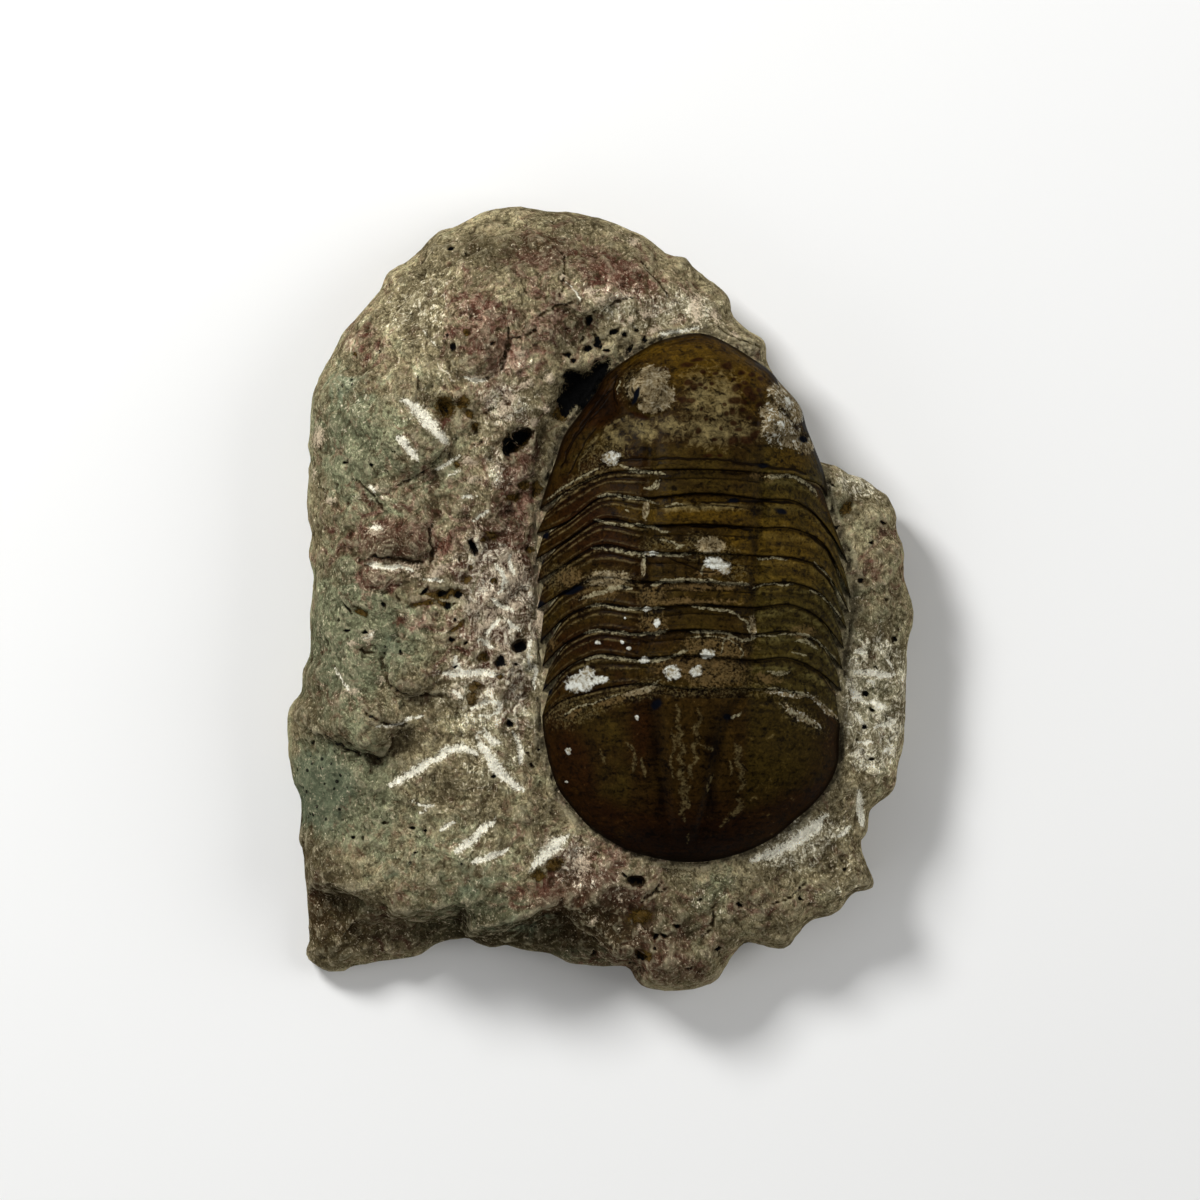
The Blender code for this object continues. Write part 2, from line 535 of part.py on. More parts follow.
def stone_height(x, y, rim):
    """Height of the stone's upper face."""
    edge, _ = distance_to(STONE_EDGE, x, y)
    rim_z, rounding = rim[0], rim[1]
    level = UPPER_FACE(x, y)
    for one in STONE_LUMPS:
        level = level + lump(x, y, *one)
    for points, drop, width in STONE_STEPS:
        d, side = distance_to(points, x, y, closed=False)
        level = level - drop * 0.5 * (1 - side * ease(d / width)) * np.exp(-((d / STEP_REACH) ** 2))
    for cx, cy, long, wide, turn, depth in STONE_PITS:
        level = level - lump(x, y, cx, cy, long, wide, turn, depth, 0)
    round_over = np.sqrt(1 - (1 - np.clip(edge / rounding, 0, 1)) ** 2)
    high = rim_z + (level - rim_z) * round_over
    low = rim_z + SCARP_FOOT_RISE * edge**SCARP_FOOT_POWER
    d, _ = distance_to(FRONT_SCARP, x, y)
    below = np.where(inside(FRONT_SCARP, x, y), 1, -1) * d
    high = high + (np.minimum(high, low) - high) * ease(below / SCARP_WIDTH + 0.5)
    d, _ = distance_to(SHELL_EDGE, x, y)
    u, v = to_body(x, y)
    bank = margin_level(u, v) + BANK_HEIGHT
    high = high + (np.minimum(bank, rim_z + (bank - rim_z) * round_over) - high) * np.exp(-((d / BANK_WIDTH) ** 2))
    return np.where(inside(SHELL_EDGE, x, y), dome_height(u, v), high)


def rim_values(x, y):
    """Rim height, rounding radius and base inset near a place, from the nearest rim marks."""
    marks = np.asarray(STONE_RIM, float)
    weight = 1 / ((x[..., None] - marks[:, 0]) ** 2 + (y[..., None] - marks[:, 1]) ** 2 + RIM_BLEND) ** 2
    weight /= weight.sum(axis=-1, keepdims=True)
    return [(weight * marks[:, k]).sum(axis=-1) for k in (2, 3, 4)]


def make_stone(material):
    ring = evenly(STONE_OUTLINE, OUTLINE_STEP)[::-1]
    n = len(ring)
    low, high = ring.min(axis=0), ring.max(axis=0)
    nodes = []
    for j, y in enumerate(np.arange(low[1], high[1], GRID_ROW)):
        for x in np.arange(low[0] + (j % 2) * GRID_STEP / 2, high[0], GRID_STEP):
            nodes.append((x, y))
    nodes = np.array(nodes)
    edge, _ = distance_to(ring, nodes[:, 0], nodes[:, 1])
    nodes = nodes[inside(ring, nodes[:, 0], nodes[:, 1]) & (edge > GRID_CLEARANCE)]
    flat = np.concatenate([ring, nodes])
    border = [(i, (i + 1) % n) for i in range(n)]
    result = delaunay_2d_cdt([Vector(p) for p in flat], border, [], 1, 1e-5)
    flat = np.array([tuple(p) for p in result[0]])
    triangles = [list(f) for f in result[2]]
    rim = rim_values(flat[:, 0], flat[:, 1])
    z = stone_height(flat[:, 0], flat[:, 1], rim)
    edge, _ = distance_to(STONE_EDGE, flat[:, 0], flat[:, 1])
    clear, _ = distance_to(SHELL_EDGE, flat[:, 0], flat[:, 1])
    loose = ease(edge / QUIET_EDGE) * ease(clear / QUIET_BANK)
    z = z + loose * rough(np.column_stack([flat, z]), TOP_RELIEF)
    z[:n] = rim[0][:n]
    points = [tuple(p) for p in np.column_stack([flat, z])]
    normal = np.roll(ring, -1, axis=0) - np.roll(ring, 1, axis=0)
    normal = np.column_stack([-normal[:, 1], normal[:, 0]])
    normal /= np.linalg.norm(normal, axis=1)[:, None]
    for _ in range(WALL_SMOOTHING):
        normal = normal + np.roll(normal, 1, axis=0) + np.roll(normal, -1, axis=0)
        normal /= np.linalg.norm(normal, axis=1)[:, None]
    previous = list(range(n))
    for row in range(1, WALL_ROWS + 1):
        down = row / WALL_ROWS
        inset = rim[2][:n] * WALL_FALL * (1 - math.sqrt(1 - WALL_CURVE * down * down))
        level = rim[0][:n] * (1 - down) - SUNK_BELOW * down
        bumps = rough(np.column_stack([ring, level]), SIDE_RELIEF)
        inset = inset + bumps * ease(WALL_ROUGH_START * down)
        inset = np.maximum(inset, WALL_LEAST_INSET * ease(WALL_INSET_START * down))
        start = len(points)
        for i in range(n):
            x, y = ring[i] + normal[i] * inset[i]
            points.append((x, y, level[i]))
        current = list(range(start, start + n))
        for i in range(n):
            k = (i + 1) % n
            triangles.append([previous[k], previous[i], current[i], current[k]])
        previous = current
    triangles.append(previous[::-1])
    return new_object("matrix", points, triangles, material)


def make_bed_cutter():
    """Everything above the shell's inner face, over the shell's outline with a small margin."""
    share = np.sin(np.linspace(-1, 1, BED_COLUMNS + 1) * math.pi / 2)
    turn = np.linspace(-math.pi / 2, math.pi / 2, BED_ROWS + 1)
    v = (HEAD_END + TAIL_END) / 2 + (HEAD_END - TAIL_END) / 2 * np.sin(turn)
    half, middle = shell_half(v)
    u = middle[:, None] + half[:, None] * share[None, :]
    out = 1 - (1 - end_reach(v)[:, None] ** 2) * (1 - share[None, :] ** 2)
    z = dome_height(u, v[:, None]) - SHELL_THICKNESS - BED_GAP - BED_EDGE_DEPTH * out**BED_EDGE_POWER
    u = u + BED_MARGIN * share[None, :] * np.cos(turn)[:, None]
    v = v[:, None] + BED_MARGIN * np.sin(turn)[:, None] + 0 * u
    bottom = grid_points(u, v, z)
    top = bottom.copy()
    top[:, :, 2] = BED_CUT_TOP
    cutter = slab("bed_cutter", top, bottom, None)
    return hide(cutter)


def hide(cutter):
    cutter.hide_render = True
    cutter.display_type = "WIRE"
    return cutter


def make_ground_cutter():
    bpy.ops.mesh.primitive_cube_add(size=1, location=(0, 0, -GROUND_CUT_DEPTH / 2 * MM))
    cutter = bpy.context.object
    cutter.name = "ground_cutter"
    cutter.scale = (GROUND_CUT_WIDTH * MM, GROUND_CUT_WIDTH * MM, GROUND_CUT_DEPTH * MM)
    return hide(cutter)


def cut(obj, name, cutter):
    modifier = obj.modifiers.new(name, "BOOLEAN")
    modifier.operation = "DIFFERENCE"
    modifier.object = cutter


def make_material(name, colour, roughness):
    material = bpy.data.materials.new(name)
    material.use_nodes = True
    shader = material.node_tree.nodes["Principled BSDF"]
    shader.inputs["Base Color"].default_value = (*colour, 1)
    shader.inputs["Roughness"].default_value = roughness
    shader.inputs["Metallic"].default_value = 0
    material.diffuse_color = (*colour, 1)
    return material


STONE_EDGE = evenly(STONE_OUTLINE, OUTLINE_STEP)
SHELL_EDGE = shell_outline()
UPPER_FACE = thin_plate(STONE_LEVELS)


def main():
    for obj in list(bpy.data.objects):
        bpy.data.objects.remove(obj, do_unlink=True)
    stone = make_material("limestone", *LIMESTONE)
    shell = make_material("calcite_shell", *CALCITE)
    matrix = make_stone(stone)
    thin = matrix.modifiers.new("fewer faces", "DECIMATE")
    thin.ratio = MATRIX_SHARE
    cut(matrix, "bed", make_bed_cutter())
    cut(matrix, "flat base", make_ground_cutter())
    make_shield("cephalon", SEAMS[0], HEAD_END, PLATE_GAP, shell)
    for number in range(1, len(SEAMS)):
        make_segment(number, SEAMS[number - 1], SEAMS[number], shell)
    make_shield("pygidium", SEAMS[-1], TAIL_END, -PLATE_GAP, shell)


main()
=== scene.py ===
"""A trilobite fossil lying back up in the loose lump of limestone that it was freed from.

Lengths are millimetres and angles degrees, unless a name says otherwise. X points to the animal's right
as seen from above, Y to its head and Z up, with the origin under the middle of the stone. Marks on the
surfaces are placed in pixels of the photo, 0.14 mm each, with the middle pixel over the origin.
"""

import math

import bpy
import numpy as np
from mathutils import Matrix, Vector, noise


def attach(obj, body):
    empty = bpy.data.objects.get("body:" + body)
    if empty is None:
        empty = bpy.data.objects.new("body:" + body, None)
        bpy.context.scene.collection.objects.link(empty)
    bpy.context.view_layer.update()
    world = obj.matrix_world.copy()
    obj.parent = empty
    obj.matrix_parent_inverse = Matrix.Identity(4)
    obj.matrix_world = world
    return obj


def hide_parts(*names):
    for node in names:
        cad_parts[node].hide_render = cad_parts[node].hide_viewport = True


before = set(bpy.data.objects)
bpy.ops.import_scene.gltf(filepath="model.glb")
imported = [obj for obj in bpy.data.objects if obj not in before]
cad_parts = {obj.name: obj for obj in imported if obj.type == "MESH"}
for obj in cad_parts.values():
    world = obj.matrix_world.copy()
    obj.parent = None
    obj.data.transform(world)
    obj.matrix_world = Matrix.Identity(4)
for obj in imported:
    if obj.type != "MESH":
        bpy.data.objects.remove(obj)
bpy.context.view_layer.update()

bl_info = {
    "name": "Trilobite in limestone",
    "version": (1, 0, 0),
    "blender": (4, 5, 0),
    "location": "View3D > Sidebar > Fossil",
    "description": "Builds a trilobite fossil in its lump of limestone, with a stage to look at it",
    "category": "Add Mesh",
}

MM = 0.001
PIXEL = 0.14
MIDDLE_PIXEL = 600

# Driving dimensions of the animal.
BODY_TILT_DEG = 3.3
BODY_CENTRE = (13.6, 0.0)
HEAD_END = 37.25
TAIL_END = -36.7
HEAD_BEND = 16.0
TAIL_BEND = -14.0
CREST_HEIGHT = 12.6
MARGIN_LEVEL = 16.2
MARGIN_ROLL = -0.03
MARGIN_PITCH = 0.01
DOME_POWER = 0.62
AXIS_HALF_WIDTH = 7.8
AXIS_RISE = 0.9
AXIS_FLANK = 0.55
AXIS_FLANK_START = 0.35
FURROW_DEPTH = 0.6
FURROW_WIDTH = 0.75
TAIL_AXIS_TIP = -35.0
TAIL_AXIS_FADE = 6.0
TAIL_AXIS_SHARE = 0.75
HEAD_AXIS_END = 22.0
HEAD_AXIS_FADE = 5.0
HEAD_AXIS_SHARE = 0.35
MARGIN_FADE = 4.0

# Driving dimensions of the plates. FRONT_LENGTH, TIP_LENGTH and PLATE_LEVEL are shares of a plate's size,
# and CORNER_SHARE is how much of the relief is left at its tips.
PITCH = 3.6
TIP_SETBACK = 0.045
TIP_LENGTH = 0.2
LIP_RISE = 0.3
LIP_PLACE = 0.4
LIP_WIDTH = 0.5
LIP_DROP = 0.35
LIP_EDGE = 0.25
FRONT_DROP = 0.45
FRONT_LENGTH = 0.12
REACH_UNDER = 0.45
CORNER_SHARE = 0.25
FLANK_BLEND = 1.5
FILLED_TO = -19.0
FLUSH_TO = 20.0
TIP_SHARPNESS = 6.0
REACH_SHARPNESS = 8.0
PLATE_SLOPE = 0.5
PLATE_LEVEL = 0.45
RING_PITCH = 0.42
RING_REACH = 2.6
RING_RISES = (0.05, 0.02)
PLATE_EDGE = 0.8
UNDERSIDE_SHARE = 0.1
WELD_DISTANCE = 0.000001

# Driving dimensions of the stone.
BANK_HEIGHT = 0.4
BANK_WIDTH = 3.2
SCARP_WIDTH = 2.0
SCARP_FOOT_RISE = 1.35
SCARP_FOOT_POWER = 0.85
STEP_REACH = 3.0
WALL_FALL = 1.7
WALL_CURVE = 0.96
WALL_LEAST_INSET = 0.25
SUNK_BELOW = 1.0
CORE_DEPTH = 2.1
CORE_SLOPE = 1.6
CORE_TOP = 0.5
TRENCH_DEPTH = 0.5
TRENCH_WIDTH = 0.35
TRENCH_LEAST = 0.15
TRENCH_MIDDLE = -2.0
TRENCH_START = 13.0
TRENCH_BLEND = 4.0
BANK_BLEND = 1.5
RIM_BLEND = 4.0
LUMP_POWER = 3.5
LUMP_POWER_SPREAD = 2.5
LUMP_CROWN = 1.3
SHELL_CLEARANCE = 0.25
COVERED_INSET = 0.2
HIDDEN_INSET = 1.6
BED_WIDTH = 1.2

# The stone's mesh and its relief. A relief lists sizes and rises, and a warp lists sizes and reaches.
STONE_GRID_STEP = 0.6
SHEET_MARGIN = 0.3
WALL_ROWS = 8
INWARD_ROUNDS = 12
FINE_ROUNDS = 2
WIDE_ROUNDS = 14
CURVE_PARTS = 12
NOISE_GAIN = 1.6
ROUGH_GAIN = 1.4
SIDE_RELIEF = ((11.0, 1.5), (4.5, 0.9))
TOP_RELIEF = ((8.0, 0.55), (3.2, 0.35))
STONE_WARP = ((3.0, 0.28), (1.3, 0.3), (0.6, 0.2))
SHELL_WARP = ((2.5, 0.25), (0.9, 0.16))
CRAG_SIZE = 8.0
CRAG_RISE = 0.8
FLAKE_SIZE = 4.5
FLAKE_RISE = 1.1
FLAKES = 5
BRIM_SHARE = 0.7
EDGE_CALM = 2.5
SHELL_CALM = 4.0
COVERED_SHARE = 0.04
SIDE_SHARE = 0.3

# The stone's outline from above, clockwise from the back left.
STONE_OUTLINE = [
    (-23.0, 51.5), (-20.4, 52.4), (-16.8, 54.3), (-13.0, 55.2), (-10.5, 55.2), (-6.7, 54.5), (-4.5, 54.6),
    (-0.8, 53.8), (3.2, 52.5), (6.2, 51.0), (9.2, 48.7), (11.9, 48.0), (13.0, 46.8), (16.2, 44.4),
    (18.1, 42.3), (18.5, 40.0), (20.7, 37.9), (23.0, 36.4), (23.5, 33.5), (25.2, 30.2), (26.2, 29.4),
    (27.0, 27.6), (27.6, 25.2), (28.6, 22.6), (29.6, 19.9), (32.6, 18.9), (34.7, 17.6), (37.1, 16.9),
    (39.2, 15.3), (40.3, 14.8), (41.6, 12.3), (41.6, 9.8), (42.8, 7.3), (42.8, 3.5), (43.8, 0.0),
    (44.0, -3.1), (43.1, -6.3), (43.1, -14.0), (42.6, -19.6), (42.0, -22.5), (41.3, -26.5), (38.0, -29.5),
    (37.5, -32.8), (36.7, -34.4), (38.4, -39.5), (37.7, -40.7), (35.7, -41.2), (32.8, -44.1),
    (29.5, -45.1), (27.7, -47.3), (25.8, -48.9), (20.9, -48.3), (18.9, -50.0), (16.4, -53.6),
    (13.9, -54.7), (9.0, -55.0), (6.0, -54.5), (3.9, -51.9), (0.3, -51.8), (-4.2, -51.1), (-6.6, -50.0),
    (-11.3, -49.3), (-13.2, -48.7), (-15.3, -49.0), (-17.5, -48.3), (-18.6, -47.6), (-19.9, -47.7),
    (-22.7, -48.2), (-23.8, -48.9), (-25.5, -50.1), (-29.0, -50.7), (-34.7, -51.8), (-36.3, -52.4),
    (-38.8, -52.1), (-41.3, -50.4), (-41.4, -49.0), (-41.0, -47.3), (-41.7, -36.5), (-42.3, -33.6),
    (-42.1, -28.3), (-43.1, -25.2), (-43.9, -19.2), (-43.9, -16.7), (-43.3, -14.8), (-42.1, -13.0),
    (-41.7, -9.9), (-40.7, -7.6), (-40.7, -1.8), (-40.3, 3.2), (-40.9, 6.2), (-40.5, 9.7), (-41.0, 11.1),
    (-41.0, 17.8), (-40.5, 19.9), (-40.9, 22.0), (-40.6, 28.1), (-40.0, 30.1), (-39.1, 32.1),
    (-37.5, 34.7), (-36.3, 37.5), (-34.4, 39.6), (-30.8, 43.8), (-29.7, 45.9), (-26.6, 48.2),
]
OUTLINE_STEP = 0.75

# Heights of the stone's upper face: x, y, height.
STONE_LEVELS = [
    (-17, 52, 17), (-8, 51, 18), (3, 49, 17), (11, 43, 16), (17, 39, 15.5), (-25, 43, 18.5),
    (-17, 43, 21.5), (-7, 43, 21.5), (3, 42, 19), (8, 39, 17.5), (-34, 35, 18.5), (-25, 35, 22),
    (-17.5, 35, 22.5), (-8, 35, 21), (-1.5, 35, 18.5), (-37, 25, 18.5), (-31, 27, 21.5), (-22, 29, 22.5),
    (-14, 28, 21), (-7, 27, 18.5), (-38, 14, 18), (-31, 14, 20.5), (-22, 14, 21), (-14, 14, 19),
    (-10, 11, 17), (-38, 3, 18), (-28, 0, 20.5), (-20, 0, 21), (-13, 0, 18.5), (-10, 0, 17.2),
    (-38, -8, 18), (-28, -9, 20), (-21, -10, 20), (-14, -11, 18.5), (-10, -11, 17), (-41, -17, 14),
    (-35, -16, 19), (-25, -20, 18.5), (-17, -20, 18), (-10, -22, 16.5), (-41, -27, 11.5), (-35, -28, 15.5),
    (-28, -28, 17.5), (-20, -28, 18), (-11, -31, 17.5), (-6, -35, 16.5), (-38, -36, 14.5),
    (-31, -38, 16.5), (-22, -39, 17.5), (-14, -41, 17.5), (-7, -41, 16.5), (0, -39, 16), (7, -42, 15.5),
    (14, -41, 15), (22, -39, 14.5), (31, -35, 14), (36, -28, 13.5), (6, -49, 13), (14, -49, 12.5),
    (22, -45, 12.5), (31, -41, 13), (35, 14, 13.5), (39, 6, 13.5), (39, -6, 14), (39, -14, 13.5),
    (38, -22, 13.5), (14, 20, 15), (14, 0, 15), (14, -20, 15),
]

# How the stone's edge is rounded: x, y, height of the widest line, rounding radius, inset of the base.
STONE_RIM = [
    (-35, 38, 8, 12, 5), (-12, 55, 8, 14, 6), (14, 46, 9, 9, 5), (24, 33, 12, 3, 5), (29, 22, 12.5, 2, 5),
    (39, 14, 9, 5, 4), (44, -4, 9, 5, 5), (42, -22, 8, 4, 4), (37, -34, 9, 3, 4), (38, -40, 8, 3, 4),
    (26, -48, 7, 4, 4), (12, -54.5, 5, 5, 5), (-2, -51, 4, 3, 3), (-15, -48.5, 4, 2.5, 3),
    (-30, -50.5, 3.5, 3, 2.5), (-41, -51, 3, 3, 2.5), (-42, -34, 4, 3, 3), (-44, -18, 7, 5, 4),
    (-41, -5, 8, 6, 4), (-41, 10, 8, 7, 4), (-40.5, 28, 8, 9, 5),
]

# Raised lumps: x, y, half length, half width, turn, height, direction of the steep side.
STONE_LUMPS = [
    (-17.5, 34.7, 4.4, 4.2, 0, 1.7, 0),
    (-26.3, 22.1, 5.4, 4.8, 40, 2.0, -50),
    (-18.1, 28.8, 3.0, 2.4, 10, 0.8, -60),
    (-29.1, 8.7, 6.4, 3.9, 0, 1.9, -60),
    (-30.2, 3.1, 3.2, 1.9, 0, 0.9, -90),
    (-26.2, -9.7, 4.4, 3.6, 20, 1.4, -140),
    (-33.5, -16.2, 5.6, 5.2, 0, 2.3, -75),
    (11.2, -51.1, 6.2, 4.0, 0, 1.4, -90),
    (39.2, 13.0, 3.6, 3.2, 0, 0.9, 180),
    (40.0, 2.5, 2.8, 6.0, 0, 0.9, 180),
    (17.5, 42.7, 4.0, 3.4, -40, 1.0, -130),
    (35.5, -37.5, 3.6, 2.8, -40, 1.0, 150),
    (25.0, -44.5, 5.0, 2.8, 15, 0.9, 90),
    (-3.0, 43.5, 5.5, 3.6, -20, 1.1, -120),
]

# Pits that are deep enough to see from a step away: x, y, half length, half width, turn, depth.
STONE_PITS = [
    (-3.2, 29.2, 3.8, 2.4, 60, 1.3), (-10.8, 22.8, 1.6, 1.1, 20, 1.3), (-12.6, 21.2, 1.1, 1.0, 0, 1.2),
    (-21.5, 27.0, 1.3, 1.2, 0, 1.1), (-17.8, 7.4, 1.3, 0.8, 110, 1.2), (-11.2, -6.6, 1.3, 0.9, 50, 1.2),
    (4.9, -39.2, 1.4, 0.8, -20, 1.2), (0.6, 36.0, 1.0, 0.7, -60, 1.0), (4.3, 34.8, 1.6, 0.8, 40, 1.1),
]

# The broken edge of the front ledge, and the foot of the stone in front of it.
FRONT_SCARP = [
    (-42.5, -40.5), (-38.0, -40.8), (-33.6, -41.2), (-30.7, -42.3), (-29.1, -44.1), (-24.5, -44.2),
    (-22.3, -43.7), (-19.3, -43.3), (-18.1, -47.0), (-13.3, -46.3), (-9.9, -44.7), (-7.3, -43.7),
    (-5.3, -42.7), (-2.2, -45.8), (0.7, -49.0), (3.5, -53.0), (4.0, -60.0), (-46.0, -60.0),
]

# Steps in the stone's upper face: points along the step's foot, drop, width. The low side is to the right
# of the direction of travel.
STONE_STEPS = [
    ([(-29.4, -6.4), (-30.4, -8.1), (-29.7, -11.2), (-26.9, -13.2), (-23.7, -13.2)], 0.9, 0.5),
    (
        [(-38.9, -18.5), (-35.8, -20.2), (-34.2, -21.4), (-30.9, -22.1), (-29.0, -20.7), (-28.6, -19.6)],
        1.0, 0.6,
    ),
    ([(-21.0, 21.4), (-23.1, 19.2), (-25.3, 17.4), (-28.3, 16.1)], -0.5, 1.0),
    ([(-12.7, 38.5), (-12.6, 34.5), (-13.4, 32.2), (-15.5, 31.2)], 0.7, 0.8),
]

# Shell outline in the body's own frame, from head to tail: along, left, right.
SHELL_OUTLINE = [
    (36.9, -4.2, 0.2), (35.9, -7.3, 2.6), (34.7, -9.4, 4.8), (32.8, -12.1, 8.0), (30.9, -14.3, 9.9),
    (28.0, -15.9, 12.7), (24.9, -18.0, 13.9), (22.3, -19.7, 15.1), (18.4, -20.9, 16.8),
    (14.6, -22.0, 17.6), (11.0, -22.8, 19.1), (7.9, -23.0, 20.2), (4.3, -22.9, 21.2), (1.5, -22.5, 21.5),
    (-2.6, -22.3, 21.2), (-7.5, -21.5, 20.9), (-10.5, -21.1, 20.9), (-14.0, -20.9, 21.0),
    (-18.0, -20.7, 20.9), (-22.0, -19.9, 20.9), (-25.2, -18.9, 19.6), (-27.9, -17.6, 17.6),
    (-30.2, -15.6, 15.2), (-32.7, -13.0, 12.4), (-34.5, -9.9, 9.3), (-35.7, -7.0, 6.2), (-36.4, -3.5, 3.5),
]

# Crest height as a share of the highest, along the body from tail to head.
CREST_PROFILE = [
    (-36.7, 0.88), (-25, 0.93), (-14, 0.98), (-4, 1.0), (6, 1.0), (16, 0.95), (26, 0.88), (37, 0.8),
]

# Half width of the tail's axis, from its tip forward.
TAIL_AXIS = [(-33.5, 1.6), (-31.0, 2.2), (-22.0, 4.0), (-15.0, 5.6), (-12.0, 7.2)]

# The nine seams between the plates, head first. Each has its left tip, then how far along the body it
# lies at SEAM_STATIONS, then its right tip.
SEAM_STATIONS = (-19.0, -14.5, -8.0, 0.0, 7.8, 13.5, 17.5)
SEAMS = [
    ((-22.6, 11.4), (14.0, 16.4, 17.4, 18.0, 18.0, 17.6, 15.3), (18.5, 13.4)),
    ((-23.0, 7.9), (9.6, 13.3, 13.6, 14.7, 14.4, 14.1, 11.0), (21.1, 5.7)),
    ((-22.9, 4.3), (6.9, 10.2, 9.8, 10.4, 10.4, 10.4, 8.3), (21.5, 1.4)),
    ((-22.5, 1.2), (3.6, 6.6, 6.1, 6.4, 6.5, 6.4, 4.9), (21.3, -0.6)),
    ((-22.3, -2.6), (-0.3, 2.2, 2.0, 2.4, 2.5, 3.0, 1.4), (21.1, -2.9)),
    ((-21.6, -7.3), (-4.2, -1.6, -1.7, -0.7, -0.7, -0.1, -2.0), (20.9, -5.7)),
    ((-21.1, -10.6), (-8.1, -5.2, -5.2, -4.2, -4.4, -3.8, -5.2), (20.9, -8.6)),
    ((-20.9, -14.0), (-11.8, -8.7, -8.6, -7.8, -8.0, -7.5, -9.1), (20.9, -11.6)),
    ((-20.8, -17.8), (-15.9, -13.8, -12.2, -12.5, -12.0, -12.0, -13.2), (20.8, -16.0)),
]

# The suture between the head's middle and its left cheek, from the front back, and the step down to
# the cheek.
CHEEK_SUTURE = [
    (-9.8, 33.1), (-12.5, 30.0), (-12.7, 27.9), (-11.9, 25.3), (-14.3, 23.6), (-17.3, 18.0), (-17.6, 15.0),
]
CHEEK_STEP = 0.8
CHEEK_REAR = 13.0
CHEEK_BLEND = 3.0

# Stumps of the broken eyes, on the head's two sides: across, along, radius, height.
HEAD_BOSSES = [(-8.7, 28.5, 3.9, 1.9), (10.2, 29.0, 2.7, 1.5), (9.3, 24.9, 2.9, 1.6)]
BOSS_STEEPNESS = 1.6

# Fine lines along the plates, at a share of the way from the front seam to the rear one: place, width
# and rise.
LEFT_LINES = [
    (0.06, 0.04, 0.2), (0.14, 0.04, -0.13), (0.235, 0.045, 0.11), (0.345, 0.045, -0.1), (0.46, 0.045, 0.08),
    (0.84, 0.04, 0.05), (0.92, 0.04, -0.07),
]
AXIS_LINES = [(0.42, 0.035, -0.16), (0.3, 0.12, 0.06), (0.7, 0.25, 0.1)]
RIGHT_LINES = [(0.07, 0.04, 0.1), (0.15, 0.04, -0.12), (0.62, 0.16, -0.14)]

# How each kind of mark stands out of the stone: sharpness and start of its slope, and rise.
STONE_MARK_RELIEF = {
    "black_and_pit_shade": (2.0, 0.35, -0.6),
    "umber": (2.0, 0.3, -0.25),
    "chalk": (1.8, 0.3, -0.22),
    "crack": (1.5, 0.1, -0.35),
    "bruise": (2.0, 0.5, 0.12),
}

# The same for the shell, with the rises of the coarse and the fine roughness on each mark.
SHELL_MARK_RELIEF = {
    "rubble": (2.2, 0.5, 0.0, 0.4, 0.16),
    "chalk": (2.4, 0.7, 0.16, 0.08, 0.03),
    "crinkle": (1.6, 0.2, 0.06, 0.16, 0.06),
    "cream": (1.6, 0.2, 0.05, 0.1, 0.0),
    "dark": (1.6, 0.2, -0.14, 0.0, 0.0),
    "notch_shade": (2.0, 0.4, -0.14, 0.0, 0.0),
}

